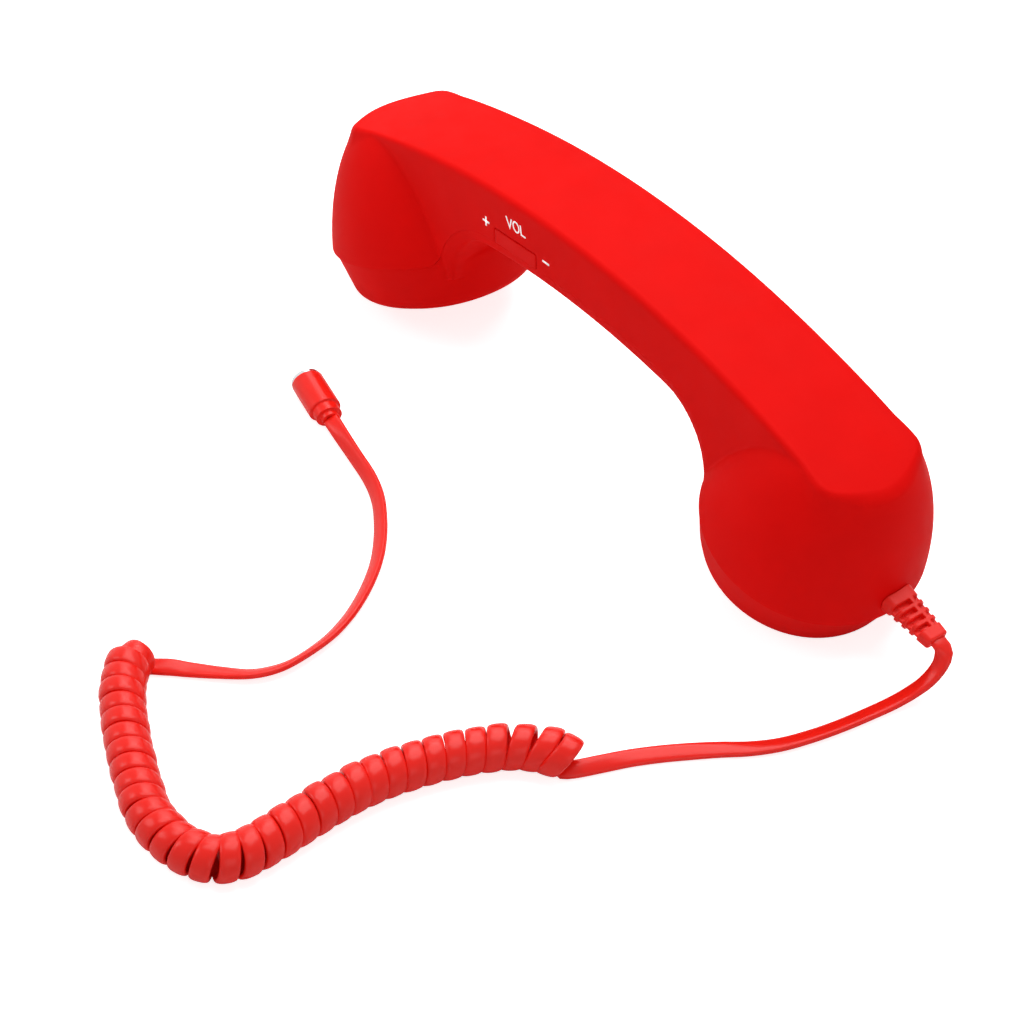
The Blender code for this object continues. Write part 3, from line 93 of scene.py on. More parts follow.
def make_camera():
    azimuth, elevation, roll = (math.radians(angle) for angle in CAMERA_ANGLES)
    back = Vector((
        math.sin(azimuth) * math.cos(elevation), -math.cos(azimuth) * math.cos(elevation), math.sin(elevation)
    ))
    level = Vector((math.cos(azimuth), math.sin(azimuth), 0.0))
    upright = back.cross(level)
    right = level * math.cos(roll) + upright * math.sin(roll)
    up = upright * math.cos(roll) - level * math.sin(roll)
    place = Vector((0, 0, CAMERA_TARGET_HEIGHT)) - level * CAMERA_LEFT - upright * CAMERA_DOWN + back * CAMERA_BACK
    data = bpy.data.cameras.new("camera")
    data.sensor_width = 36.0
    data.lens = CAMERA_LENS
    data.clip_end = 20.0
    camera = bpy.data.objects.new("camera", data)
    turn = Matrix((right, up, back)).transposed().to_4x4()
    camera.matrix_world = Matrix.Translation(place) @ turn
    bpy.context.scene.collection.objects.link(camera)
    bpy.context.scene.camera = camera


def add_light(name, place, target, size, power):
    data = bpy.data.lights.new(name, "AREA")
    data.shape = "RECTANGLE"
    data.size, data.size_y = size
    data.energy = power
    light = bpy.data.objects.new(name, data)
    direction = Vector(target) - Vector(place)
    light.matrix_world = Matrix.Translation(place) @ direction.to_track_quat("-Z", "Y").to_matrix().to_4x4()
    bpy.context.scene.collection.objects.link(light)


def make_world():
    """Soft light all round, and white where the camera or a reflection sees past the part."""
    world = bpy.data.worlds.new("studio")
    world.use_nodes = True
    bpy.context.scene.world = world
    tree = world.node_tree
    tree.nodes.clear()
    output = tree.nodes.new("ShaderNodeOutputWorld")
    path = tree.nodes.new("ShaderNodeLightPath")
    seen = tree.nodes.new("ShaderNodeMath")
    seen.operation = "MAXIMUM"
    tree.links.new(path.outputs["Is Camera Ray"], seen.inputs[0])
    through = tree.nodes.new("ShaderNodeMath")
    through.operation = "MAXIMUM"
    tree.links.new(path.outputs["Is Glossy Ray"], through.inputs[0])
    tree.links.new(path.outputs["Is Transmission Ray"], through.inputs[1])
    tree.links.new(through.outputs[0], seen.inputs[1])
    soft = tree.nodes.new("ShaderNodeBackground")
    soft.inputs["Color"].default_value = (1, 1, 1, 1)
    soft.inputs["Strength"].default_value = WORLD_LIGHT
    white = tree.nodes.new("ShaderNodeBackground")
    white.inputs["Color"].default_value = (1, 1, 1, 1)
    white.inputs["Strength"].default_value = 1.0
    mix = tree.nodes.new("ShaderNodeMixShader")
    tree.links.new(seen.outputs[0], mix.inputs[0])
    tree.links.new(soft.outputs[0], mix.inputs[1])
    tree.links.new(white.outputs[0], mix.inputs[2])
    tree.links.new(mix.outputs[0], output.inputs["Surface"])


def make_floor():
    """A plain pale floor that keeps the shadow, and is near white where the camera sees it."""
    mesh = bpy.data.meshes.new("floor")
    corners = [(x * FLOOR_HALF, y * FLOOR_HALF, 0) for x, y in ((-1, -1), (1, -1), (1, 1), (-1, 1))]
    mesh.from_pydata(corners, [], [(0, 1, 2, 3)])
    floor = bpy.data.objects.new("floor", mesh)
    bpy.context.scene.collection.objects.link(floor)
    material = bpy.data.materials.new("floor")
    material.use_nodes = True
    tree = material.node_tree
    tree.nodes.clear()
    output = tree.nodes.new("ShaderNodeOutputMaterial")
    matt = tree.nodes.new("ShaderNodeBsdfDiffuse")
    matt.inputs["Color"].default_value = (FLOOR_SHADE, FLOOR_SHADE, FLOOR_SHADE, 1)
    glow = tree.nodes.new("ShaderNodeEmission")
    path = tree.nodes.new("ShaderNodeLightPath")
    level = tree.nodes.new("ShaderNodeMath")
    level.operation = "MULTIPLY"
    level.inputs[1].default_value = FLOOR_GLOW
    tree.links.new(path.outputs["Is Camera Ray"], level.inputs[0])
    tree.links.new(level.outputs[0], glow.inputs["Strength"])
    both = tree.nodes.new("ShaderNodeAddShader")
    tree.links.new(matt.outputs[0], both.inputs[0])
    tree.links.new(glow.outputs[0], both.inputs[1])
    tree.links.new(both.outputs[0], output.inputs["Surface"])
    mesh.materials.append(material)


def make_lights():
    add_light("overhead", (-0.15, 0.3, 1.25), (0, -0.05, 0), (1.1, 1.1), 12.0)
    add_light("key", (-0.8, -0.9, 0.9), (0, -0.05, 0.02), (0.6, 0.6), 3.5)
    add_light("sheen", (-0.95, 0.75, 1.1), (0, 0, 0.05), (0.9, 0.9), 4.2)
    add_light("fill", (1.1, -0.5, 0.5), (0, -0.05, 0.02), (0.7, 0.6), 1.2)


# ---------------------------------------------------------------- materials

def add_node(tree, kind, **values):
    node = tree.nodes.new(kind)
    for name, value in values.items():
        if name in node.inputs:
            node.inputs[name].default_value = value
        else:
            setattr(node, name, value)
    return node


def surface(name, colour, roughness, metallic=0.0, grain=900.0, bump=0.00001, mottle=0.06, specular=0.5, glow=0.0):
    """A moulded or machined finish: faint colour mottle, uneven gloss and a fine grain."""
    made = bpy.data.materials.new(name)
    made.use_nodes = True
    tree = made.node_tree
    shader = tree.nodes["Principled BSDF"]
    shader.inputs["Metallic"].default_value = metallic
    shader.inputs["Specular IOR Level"].default_value = specular
    # A glow above 0 is painted light: a white emission on a part that is no lamp, so it looks more brightly lit than
    # the lamps make it.
    shader.inputs["Emission Color"].default_value = (1, 1, 1, 1)
    shader.inputs["Emission Strength"].default_value = glow
    place = add_node(tree, "ShaderNodeTexCoord")
    cloud = add_node(tree, "ShaderNodeTexNoise", Scale=55.0, Detail=4.0)
    tree.links.new(place.outputs["Object"], cloud.inputs["Vector"])
    ramp = add_node(tree, "ShaderNodeValToRGB")
    ramp.color_ramp.elements[0].position = 0.3
    ramp.color_ramp.elements[1].position = 0.7
    ramp.color_ramp.elements[0].color = (*[c * (1 - mottle) for c in colour], 1)
    ramp.color_ramp.elements[1].color = (*[min(1, c * (1 + mottle)) for c in colour], 1)
    tree.links.new(cloud.outputs["Fac"], ramp.inputs["Fac"])
    tree.links.new(ramp.outputs["Color"], shader.inputs["Base Color"])
    patch = add_node(tree, "ShaderNodeTexNoise", Scale=140.0, Detail=3.0)
    tree.links.new(place.outputs["Object"], patch.inputs["Vector"])
    spread = add_node(tree, "ShaderNodeMapRange")
    spread.inputs["To Min"].default_value = roughness * 0.88
    spread.inputs["To Max"].default_value = min(1, roughness * 1.12)
    tree.links.new(patch.outputs["Fac"], spread.inputs["Value"])
    tree.links.new(spread.outputs["Result"], shader.inputs["Roughness"])
    fine = add_node(tree, "ShaderNodeTexNoise", Scale=grain, Detail=3.0)
    tree.links.new(place.outputs["Object"], fine.inputs["Vector"])
    relief = add_node(tree, "ShaderNodeBump", Strength=1.0, Distance=bump)
    tree.links.new(fine.outputs["Fac"], relief.inputs["Height"])
    tree.links.new(relief.outputs["Normal"], shader.inputs["Normal"])
    return made


# ---------------------------------------------------------------- meshes

def add_piece(name, points, faces, material, body="handset", creases=None):
    """A mesh piece from points in millimetres, riding on one of the CAD's bodies."""
    mesh = bpy.data.meshes.new(name)
    mesh.from_pydata([tuple(p) for p in np.asarray(points) * MM], [], [tuple(int(i) for i in f) for f in faces])
    mesh.validate()
    mesh.shade_smooth()
    if creases:
        mesh.set_sharp_from_angle(angle=math.radians(creases))
    mesh.materials.append(material)
    piece = bpy.data.objects.new(name, mesh)
    bpy.context.scene.collection.objects.link(piece)
    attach(piece, body)
    return piece


def surface_net(field, low, high, step):
    """Points and quads on the zero level of a field that is negative inside."""
    counts = [int(math.ceil((b - a) / step)) + 1 for a, b in zip(low, high)]
    axes = [a + step * np.arange(n) for a, n in zip(low, counts)]
    grid = np.stack(np.meshgrid(*axes, indexing="ij"), -1)
    value = field(grid.reshape(-1, 3)).reshape(counts)
    inside = value < 0
    cells = [n - 1 for n in counts]
    total = np.zeros((*cells, 3))
    hits = np.zeros(cells)
    crossings = []
    for axis in range(3):
        start = [slice(None)] * 3
        end = [slice(None)] * 3
        start[axis] = slice(0, -1)
        end[axis] = slice(1, None)
        here, there = value[tuple(start)], value[tuple(end)]
        cross = (here < 0) != (there < 0)
        share = np.where(cross, here / np.where(cross, here - there, 1.0), 0.0)
        point = grid[tuple(start)].copy()
        point[..., axis] += share * step
        point *= cross[..., None]
        others = [k for k in range(3) if k != axis]
        for i in (0, 1):
            for j in (0, 1):
                part = [slice(None)] * 3
                part[others[0]] = slice(i, counts[others[0]] - 1 + i)
                part[others[1]] = slice(j, counts[others[1]] - 1 + j)
                total += point[tuple(part)]
                hits += cross[tuple(part)]
        crossings.append((axis, others, cross, inside[tuple(start)]))
    used = hits > 0
    number = np.full(cells, -1)
    number[used] = np.arange(used.sum())
    points = total[used] / hits[used][:, None]
    quads = []
    for axis, others, cross, lower in crossings:
        at = np.argwhere(cross)
        good = np.ones(len(at), bool)
        for k in others:
            good &= (at[:, k] > 0) & (at[:, k] < counts[k] - 1)
        at = at[good]
        corners = []
        for i, j in ((1, 1), (0, 1), (0, 0), (1, 0)):
            cell = at.copy()
            cell[:, others[0]] -= i
            cell[:, others[1]] -= j
            corners.append(number[tuple(cell.T)])
        quad = np.stack(corners, 1)
        flip = lower[tuple(at.T)] == (axis == 1)
        quad[flip] = quad[flip][:, ::-1]
        quads.append(quad)
    return points, np.concatenate(quads)


def gradient(field, points, step=0.01):
    parts = []
    for axis in range(3):
        shift = np.zeros(3)
        shift[axis] = step
        parts.append((field(points + shift) - field(points - shift)) / (2 * step))
    return np.stack(parts, 1)


def settle(field, points, rounds=4):
    """Moves points onto the zero level of a field."""
    for _ in range(rounds):
        slope = gradient(field, points)
        square = np.maximum((slope**2).sum(1), 0.05)
        move = field(points)[:, None] * slope / square[:, None]
        size = np.linalg.norm(move, axis=1, keepdims=True)
        points = points - move * np.minimum(1, 0.6 / np.maximum(size, 1e-9))
    return points


def settle_edge(field, cut, points, rounds=6):
    """Moves points onto the line where both fields are zero."""
    for _ in range(rounds):
        points = settle(field, points, 1)
        normal = gradient(field, points)
        normal /= np.linalg.norm(normal, axis=1, keepdims=True)
        slope = gradient(cut, points)
        slope -= (slope * normal).sum(1, keepdims=True) * normal
        square = np.maximum((slope**2).sum(1), 0.05)
        points = points - cut(points)[:, None] * slope / square[:, None]
    return settle(field, points, 1)


def normals_of(field, points):
    slope = gradient(field, points)
    return slope / np.maximum(np.linalg.norm(slope, axis=1, keepdims=True), 1e-9)


def split(points, faces, field, cut, snap):
    """The part of the surface where cut is positive, with its edge laid on the line cut = 0."""
    value = cut(points)
    near = np.abs(value) < snap
    if near.any():
        points = points.copy()
        points[near] = settle_edge(field, cut, points[near])
        value[near] = 0.0
    negative = (value < 0)[faces].any(1)
    positive = (value > 0)[faces].any(1)
    kept = [tuple(face) for face in faces[positive & ~negative]]
    added, places = {}, []
    for face in faces[positive & negative]:
        ring = []
        for k in range(3):
            a, b = int(face[k]), int(face[(k + 1) % 3])
            if value[a] >= 0:
                ring.append(a)
            if value[a] * value[b] < 0:
                key = (min(a, b), max(a, b))
                if key not in added:
                    added[key] = len(points) + len(places)
                    share = value[a] / (value[a] - value[b])
                    places.append(points[a] * (1 - share) + points[b] * share)
                ring.append(added[key])
        for k in range(1, len(ring) - 1):
            kept.append((ring[0], ring[k], ring[k + 1]))
    if places:
        points = np.concatenate([points, settle_edge(field, cut, np.array(places))])
    kept = np.array(kept)
    used = np.unique(kept)
    number = np.full(len(points), -1)
    number[used] = np.arange(len(used))
    return points[used], number[kept]


def refine(points, faces, field, near):
    """Cuts the faces' edges in two where near says so."""
    bm = bmesh.new()
    verts = [bm.verts.new(p) for p in points]
    for face in faces:
        bm.faces.new([verts[i] for i in face])
    bm.verts.index_update()
    mark = near(points)
    edges = [e for e in bm.edges if mark[e.verts[0].index] and mark[e.verts[1].index]]
    bmesh.ops.subdivide_edges(bm, edges=edges, cuts=1, use_grid_fill=True)
    bmesh.ops.triangulate(bm, faces=bm.faces)
    bm.verts.index_update()
    points = np.array([v.co for v in bm.verts])
    faces = np.array([[v.index for v in f.verts] for f in bm.faces])
    bm.free()
    return settle(field, points, 2), faces


def thicken(points, faces, field, wall, rounding, steps=3):
    """A shell under the surface, with the outer edge of each rim rounded."""
    normal = normals_of(field, points)
    count = len(points)
    directed = np.concatenate([faces[:, [0, 1]], faces[:, [1, 2]], faces[:, [2, 0]]])
    known = {(int(a), int(b)) for a, b in directed}
    rim = [(a, b) for a, b in known if (b, a) not in known]
    outward = np.zeros((count, 3))
    for a, b in rim:
        side = np.cross(points[b] - points[a], normal[a] + normal[b])
        outward[a] += side
        outward[b] += side
    on_rim = sorted({i for pair in rim for i in pair})
    outward[on_rim] /= np.maximum(np.linalg.norm(outward[on_rim], axis=1, keepdims=True), 1e-9)
    inner = points - wall * normal
    inner[on_rim] += outward[on_rim] * rounding
    all_points = [points, inner]
    place = {i: k for k, i in enumerate(on_rim)}
    for k in range(1, steps + 1):
        angle = math.pi / 2 * k / steps
        ring = points[on_rim] + outward[on_rim] * rounding * math.sin(angle)
        ring = ring - normal[on_rim] * rounding * (1 - math.cos(angle))
        all_points.append(ring)
    all_faces = [tuple(f) for f in faces] + [tuple(count + i for i in f[::-1]) for f in faces]
    first = 2 * count
    for a, b in rim:
        chain_a = [a] + [first + k * len(on_rim) + place[a] for k in range(steps)] + [count + a]
        chain_b = [b] + [first + k * len(on_rim) + place[b] for k in range(steps)] + [count + b]
        for k in range(len(chain_a) - 1):
            all_faces.append((chain_b[k], chain_a[k], chain_a[k + 1], chain_b[k + 1]))
    return np.concatenate(all_points), all_faces


# ---------------------------------------------------------------- fields of the housing

FAR = 50.0  # stands for a distance where an outline isn't on this side of the part
NEAR_SIDE = -8.0  # past this Y is the handle's near side, with the rocker
DOMES_FROM = 40.0  # past this X, on either side, the domes meet the handle
CREASE_FROM = 20.0  # over this height their crease is in the open
BUTTON_FROM, SCREW_FROM = 44.0, 40.0  # heights over which their outlines are in the handle's underside
GRILLE_BELOW = 3.0  # height over a cup's face under which the outline of its middle is in the cap


def round_max(a, b, radius):
    """Where two regions meet in an outer edge, rounded by the radius."""
    u, v = a + radius, b + radius
    return np.minimum(np.maximum(u, v), 0) + np.hypot(np.maximum(u, 0), np.maximum(v, 0)) - radius


def round_min(a, b, radius):
    """Where two regions meet in an inner corner, filled by the radius."""
    u, v = radius - a, radius - b
    return -(np.minimum(np.maximum(u, v), 0) + np.hypot(np.maximum(u, 0), np.maximum(v, 0)) - radius)


def cup_place(points, side):
    """Places in a cup's frame: away from the handle's middle, along Y, and in height over the cup's face."""
    x = points[:, 0] - side * CUP_X
    z = points[:, 2] - FACE_HEIGHT
    c, s = math.cos(CUP_TILT), math.sin(CUP_TILT)
    across = side * (x * c) - z * s
    height = side * (x * s) + z * c
    return across, points[:, 1], height


def dome_field(across, y, height):
    """Distance from the dome, a stretched ball that is centred on the cup's axis."""
    reach = np.hypot(across, y)
    scale = np.sqrt((reach / DOME_RADIUS) ** 2 + ((height - DOME_CENTRE) / DOME_RISE) ** 2)
    slope = np.hypot(reach / DOME_RADIUS**2, (height - DOME_CENTRE) / DOME_RISE**2) / np.maximum(scale, 1e-6)
    return (scale - 1) / np.maximum(slope, 1e-6)


def cup_field(points, side, shell):
    """The dome carried on below the parting plane, or the cap carried on above it."""
    across, y, height = cup_place(points, side)
    dome = dome_field(across, y, height)
    if shell == "back":
        return np.maximum(dome, PARTING / 2 - height)
    taper = (CAP_RADIUS - FACE_RADIUS) / (PARTING - FACE_FILLET)
    flush = CAP_STEP * np.clip((-across - STEP_FADE_START) / STEP_FADE_RUN, 0, 1)
    cone = np.hypot(across, y) - CAP_RADIUS - flush + taper * np.maximum(PARTING - height, 0)
    wall = np.maximum(cone / math.hypot(1, taper), dome)
    return round_max(wall, -height, FACE_FILLET)


def crown_field(points):
    """Distance from the round that forms the top of the handle and cuts the domes."""
    return np.hypot(points[:, 0], points[:, 2] - (CROWN_HEIGHT - CROWN_RADIUS)) - CROWN_RADIUS


def arch_field(points):
    """Distance from the clear arch under the handle, negative in the open."""
    under = np.hypot(points[:, 0], points[:, 2] - (UNDERSIDE_HEIGHT - UNDERSIDE_RADIUS)) - UNDERSIDE_RADIUS
    return round_max(under, np.abs(points[:, 0]) - ARCH_HALF, ARCH_FILLET)


def housing_parts(points, shell):
    """The handle without its crown, the two cups, and the rounding of the crown's edges."""
    side = np.abs(points[:, 1]) - HANDLE_WIDTH / 2
    if shell == "front":
        side = side + SKIRT_LEDGE + SKIRT_TAPER * np.clip(-parting_field(points), 0, SKIRT)
    outward = np.maximum(np.abs(points[:, 0]) - HANDLE_REACH + HANDLE_END_RADIUS, 0)
    end = np.hypot(outward, points[:, 1]) - HANDLE_END_RADIUS
    flank = round_max(side, end, END_ROUNDING)
    handle = round_max(-arch_field(points), flank, ARCH_EDGE_RADIUS)
    handle = np.maximum(handle, HANDLE_FLOOR - points[:, 2])
    cups = np.minimum(cup_field(points, -1, shell), cup_field(points, 1, shell))
    return handle, cups, np.interp(np.abs(points[:, 0]), *EDGE_RADII)


def housing_field(points, shell):
    handle, cups, edge = housing_parts(points, shell)
    crease = np.interp(np.abs(points[:, 0]), *CREASE_RADII)
    return round_max(crown_field(points), round_min(handle, cups, crease), edge)


def near_edges(points, shell, reach):
    """Whether points are near a crease or an edge of the housing, where its mesh is finer."""
    handle, cups, _ = housing_parts(points, shell)
    crown = crown_field(points)
    crease = (np.abs(handle - cups) < reach) & (np.abs(points[:, 0]) > DOMES_FROM)
    return crease | ((crown > -reach - 1) & (np.minimum(handle, cups) > -reach - 1))


def near_crease(points, shell, reach):
    """Whether points are on the crease between a dome and the handle, where the mesh is finest."""
    handle, cups, _ = housing_parts(points, shell)
    return (np.hypot(handle, cups) < reach) & (np.abs(points[:, 0]) > DOMES_FROM) & (points[:, 2] > CREASE_FROM)


def parting_field(points):
    """Positive on the back shell and negative on the front shell."""
    cups = np.where(points[:, 0] < 0, cup_place(points, -1)[2], cup_place(points, 1)[2]) - PARTING
    return round_min(cups, arch_field(points) - SKIRT, PARTING_FILLET)


def rocker_place(points):
    slope = -math.asin(ROCKER_X / CROWN_RADIUS)
    x, z = points[:, 0] - ROCKER_X, points[:, 2] - ROCKER_Z
    return x * math.cos(slope) + z * math.sin(slope), -x * math.sin(slope) + z * math.cos(slope)


def rocker_outline(points, grow=0.0):
    """Distance from the rocker's outline on the near side of the handle."""
    along, up = rocker_place(points)
    edge = round_max(np.abs(along) - ROCKER_LENGTH / 2, np.abs(up) - ROCKER_HEIGHT / 2, ROCKER_CORNER)
    return np.where(points[:, 1] < NEAR_SIDE, edge - grow, FAR)


def button_outline(points):
    """Distance from the call button's outline, in the underside of the handle."""
    edge = np.hypot(np.maximum(np.abs(points[:, 0]) - BUTTON_STRAIGHT, 0), points[:, 1]) - BUTTON_RADIUS
    return np.where(points[:, 2] > BUTTON_FROM, edge, FAR)


def screw_outline(points):
    """Distance from the rims of the two screw bores beside the button."""
    edge = np.hypot(np.abs(points[:, 0]) - SCREW_X, points[:, 1]) - SCREW_BORE
    return np.where(points[:, 2] > SCREW_FROM, edge, FAR)


def grille_outline(points):
    """Distance from the middle of the two caps' faces, which are pieces of their own mesh."""
    away = []
    for side in (-1, 1):
        across, y, height = cup_place(points, side)
        away.append(np.where(height < GRILLE_BELOW, np.hypot(across, y) - GRILLE_RADIUS, FAR))
    return np.minimum(away[0], away[1])


# ---------------------------------------------------------------- housing

HOUSING_LOW, HOUSING_HIGH = (-112.0, -33.0, -3.0), (112.0, 33.0, 70.0)
NET_STEP = 0.95
CUT_MARGIN = 4.0  # of net kept past the parting line, for the cut to run through
EDGE_REACH, CREASE_REACH, OUTLINE_REACHES = 1.2, 0.45, (2.4, 1.2)  # within which the net is made finer
SOLID_STEP = 0.2  # of the nets of the small pieces


def shell_mesh(shell):
    """One shell of the housing: the net of its surface, finer at edges, cut along its outlines and given its wall."""
    sign = 1 if shell == "back" else -1

    def field(points):
        return housing_field(points, shell)

    def apart(points):
        return sign * parting_field(points) - PARTING_GAP / 2 - RIM_ROUNDING

    cuts = [(apart, 0.2)]  # each with the reach within which points are moved onto the cut
    cuts.append((lambda points: rocker_outline(points, ROCKER_GAP + RIM_ROUNDING), 0.05))
    if shell == "front":
        cuts.append((lambda points: button_outline(points) - BUTTON_GAP - RIM_ROUNDING, 0.08))
        cuts.append((lambda points: screw_outline(points) - RIM_ROUNDING, 0.08))
        cuts.append((grille_outline, 0.2))
    points, quads = surface_net(field, HOUSING_LOW, HOUSING_HIGH, NET_STEP)
    faces = np.concatenate([quads[:, [0, 1, 2]], quads[:, [0, 2, 3]]])
    faces = faces[(apart(points) > -CUT_MARGIN)[faces].any(1)]
    used = np.unique(faces)
    number = np.full(len(points), -1)
    number[used] = np.arange(len(used))
    points, faces = settle(field, points[used]), number[faces]
    points, faces = refine(points, faces, field, lambda p: near_edges(p, shell, EDGE_REACH))
    points, faces = refine(points, faces, field, lambda p: near_crease(p, shell, CREASE_REACH))
    for reach in OUTLINE_REACHES:
        points, faces = refine(
            points, faces, field,
            lambda p: (np.abs(rocker_outline(p)) < reach) | (np.abs(button_outline(p)) < reach)
            | (np.abs(screw_outline(p)) < reach),
        )
    for cut, snap in cuts:
        points, faces = split(points, faces, field, cut, snap)
    return thicken(points, faces, field, WALL, RIM_ROUNDING)


def cup_matrix(side):
    """The frame of the ear cup (-1) or the mouth cup (1), with Z up its axis from its face."""
    place = Matrix.Translation((side * CUP_X, 0, FACE_HEIGHT))
    return place @ Matrix.Rotation(side * CUP_TILT, 4, "Y")


def grille_mesh(side, rings):
    """The middle of a cap's face with its sound holes, as points and faces."""
    curve = bpy.data.curves.new("grille", "CURVE")
    curve.dimensions = "2D"
    curve.fill_mode = "BOTH"
    curve.extrude = GRILLE_THICKNESS / 2
    circles = [(0.0, 0.0, GRILLE_RADIUS, 96), (0.0, 0.0, SOUND_HOLE_RADIUS, 24)]
    for ring in range(1, rings + 1):
        reach = ring * SOUND_RING_PITCH
        for i in range(6 * ring):
            angle = math.pi * i / (3 * ring)
            circles.append((reach * math.cos(angle), reach * math.sin(angle), SOUND_HOLE_RADIUS, 24))
    for x, y, radius, steps in circles:
        spline = curve.splines.new("POLY")
        spline.points.add(steps - 1)
        spline.use_cyclic_u = True
        for k, point in enumerate(spline.points):
            angle = 2 * math.pi * k / steps
            point.co = (x + radius * math.cos(angle), y + radius * math.sin(angle), 0, 1)
    holder = bpy.data.objects.new("grille", curve)
    bpy.context.scene.collection.objects.link(holder)
    bpy.context.view_layer.update()
    graph = bpy.context.evaluated_depsgraph_get()
    mesh = bpy.data.meshes.new_from_object(holder.evaluated_get(graph))
    bm = bmesh.new()
    bm.from_mesh(mesh)
    bmesh.ops.remove_doubles(bm, verts=bm.verts, dist=1e-4)
    bmesh.ops.recalc_face_normals(bm, faces=bm.faces)
    turn = cup_matrix(side)
    points = [turn @ (v.co + Vector((0, 0, GRILLE_THICKNESS / 2))) for v in bm.verts]
    bm.verts.index_update()
    faces = [[v.index for v in f.verts] for f in bm.faces]
    bm.free()
    bpy.data.objects.remove(holder, do_unlink=True)
    return points, faces


def join_meshes(parts):
    points, faces = [], []
    for some, more in parts:
        first = len(points)
        points += [tuple(p) for p in some]
        faces += [tuple(first + int(i) for i in face) for face in more]
    return points, faces


def make_housing(material):
    back = add_piece("back_shell_fine", *shell_mesh("back"), material, creases=50)
    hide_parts("back_shell")
    front = join_meshes([shell_mesh("front"), grille_mesh(-1, 2), grille_mesh(1, 1)])
    front = add_piece("front_shell_fine", *front, material, creases=50)
    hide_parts("front_shell")


# ---------------------------------------------------------------- cord

LEAD_ROUTE = [  # places, and how far the flat cord leans
    (123.2, 0.3, 11.7, 0), (123.4, -1.2, 8.7, 2), (122.9, -4.2, 5.6, 6), (121.7, -8.0, 3.1, 10),
    (120.5, -12.6, 1.5, 13), (119.6, -18.8, 1.2, 14), (118.4, -27.3, 1.2, 15), (116.7, -35.2, 1.2, 13),
    (114.4, -42.6, 1.2, 9), (111.1, -49.1, 1.2, 2), (107.1, -54.9, 1.2, -6), (103.4, -60.9, 1.3, -14),
    (99.9, -67.1, 1.4, -17), (96.8, -73.5, 1.5, -20), (94.1, -80.3, 1.7, -26),
]
COIL_ROUTE = [
    (89.4, -87.6), (85.0, -90.8), (80.6, -95.3), (76.9, -101.8), (74.1, -108.5), (71.9, -115.7), (70.2, -122.9),
    (69.2, -130.9), (69.2, -139.2), (69.8, -147.7), (70.4, -156.2), (70.4, -163.4), (68.0, -169.2), (62.6, -172.6),
    (55.6, -174.0), (47.6, -173.6), (39.2, -170.9), (30.1, -167.3), (21.1, -163.2), (12.2, -158.4), (5.9, -153.4),
    (2.6, -148.2),
]
TAIL_ROUTE = [
    (6.6, -143.0, 1.6, 19), (10.6, -138.8, 1.3, 3), (15.8, -133.7, 1.4, -13), (20.7, -128.3, 1.6, -26),
    (23.2, -122.6, 1.8, -33), (23.7, -116.4, 1.9, -46), (22.2, -106.9, 1.9, -43), (19.3, -99.1, 1.9, -42),
    (15.5, -92.3, 1.9, -42), (11.1, -86.1, 1.9, -42), (6.2, -80.5, 1.9, -43), (0.6, -75.5, 1.9, -44),
    (-5.5, -71.0, 1.9, -47), (-12.1, -67.0, 2.0, -50), (-19.6, -64.1, 2.1, -52), (-28.2, -62.3, 2.5, -54),
    (-36.0, -60.9, 3.2, -44),
]
RIBBON_WIDTH, RIBBON_THICKNESS = 4.4, 1.9
RIBBON_SPREAD = 0.09  # how much wider the cord is where it is wound
COIL_RADIUS = 4.65  # of the cord's centreline
COIL_PITCH, BEND_TIGHTENING = 5.15, 1.6
UNWIND = 2.4, 5.0  # run over which each end of the coil straightens
# The fold by which the lead leaves the coil: how far it reaches, stands aside and rises, its turn, and its run
FOLD_REACH, FOLD_SIDE, FOLD_LIFT, FOLD_ROLL = 0.8, 1.6, 0.9, math.radians(25)
FOLD_RUN, FOLD_RUN_IN_COIL = 12.0, 4.0
FIRST_LEAN, FIRST_RUN = 4.6, 17.0  # how far the coil's first turns lean towards the lead
RELIEF_HEIGHT, RELIEF_END, RELIEF_ASIDE = 21.3, 43.1, 1.0
PLUG_START, PLUG_HEADING, PLUG_RADIUS = (-44.4, -59.2), math.radians(166.5), 3.7
PLUG_SPREAD = 1.2  # how much wider than high the plug is
PLUG_LEAN = -24  # of the flat cord where it enters the plug
FLOOR_GAP = 0.05
SPINE_STEP = 0.5
POINTS_PER_TURN = 30
STRAIGHT_STEP, LEAST_STEP = 1.5, 0.02  # between the points of the cord's line
PITCH_WAVES = (0.012, 0.31, 0.0), (0.012, 0.83, 1.0)  # size, rate and phase of the coil's unevenness
RADIUS_WAVES = (0.015, 0.57, 0.0), (0.012, 1.3, 2.0)
SECTION_POINTS, SECTION_POWERS = 28, (0.82, 0.72)  # powers under 1 make it fuller than an ellipse
BEND_WINDOW = 21  # in spine steps, over which a bend is averaged


def smooth_route(route, step):
    """Points a step apart on the smooth curve through the route."""
    route = np.array(route, float)
    ends = np.vstack([2 * route[0] - route[1], route, 2 * route[-1] - route[-2]])
    fine = []
    for a, b, c, d in zip(ends, ends[1:], ends[2:], ends[3:]):
        for t in np.arange(0, 1, 1 / 24):
            fine.append(0.5 * (2 * b + (c - a) * t + (2 * a - 5 * b + 4 * c - d) * t**2
                               + (3 * b - a - 3 * c + d) * t**3))
    fine.append(route[-1])
    fine = np.array(fine)
    run = np.concatenate([[0], np.cumsum(np.linalg.norm(np.diff(fine[:, :3], axis=0), axis=1))])
    marks = np.linspace(0, run[-1], int(run[-1] / step) + 1)
    return np.stack([np.interp(marks, run, values) for values in fine.T], 1)


def plug_matrix():
    place = Matrix.Translation((*PLUG_START, PLUG_RADIUS + FLOOR_GAP))
    return place @ Matrix.Rotation(PLUG_HEADING, 4, "Z") @ Matrix.Rotation(math.pi / 2, 4, "Y")


def relief_matrix():
    return cup_matrix(1) @ Matrix.Translation((0, 0, RELIEF_HEIGHT))


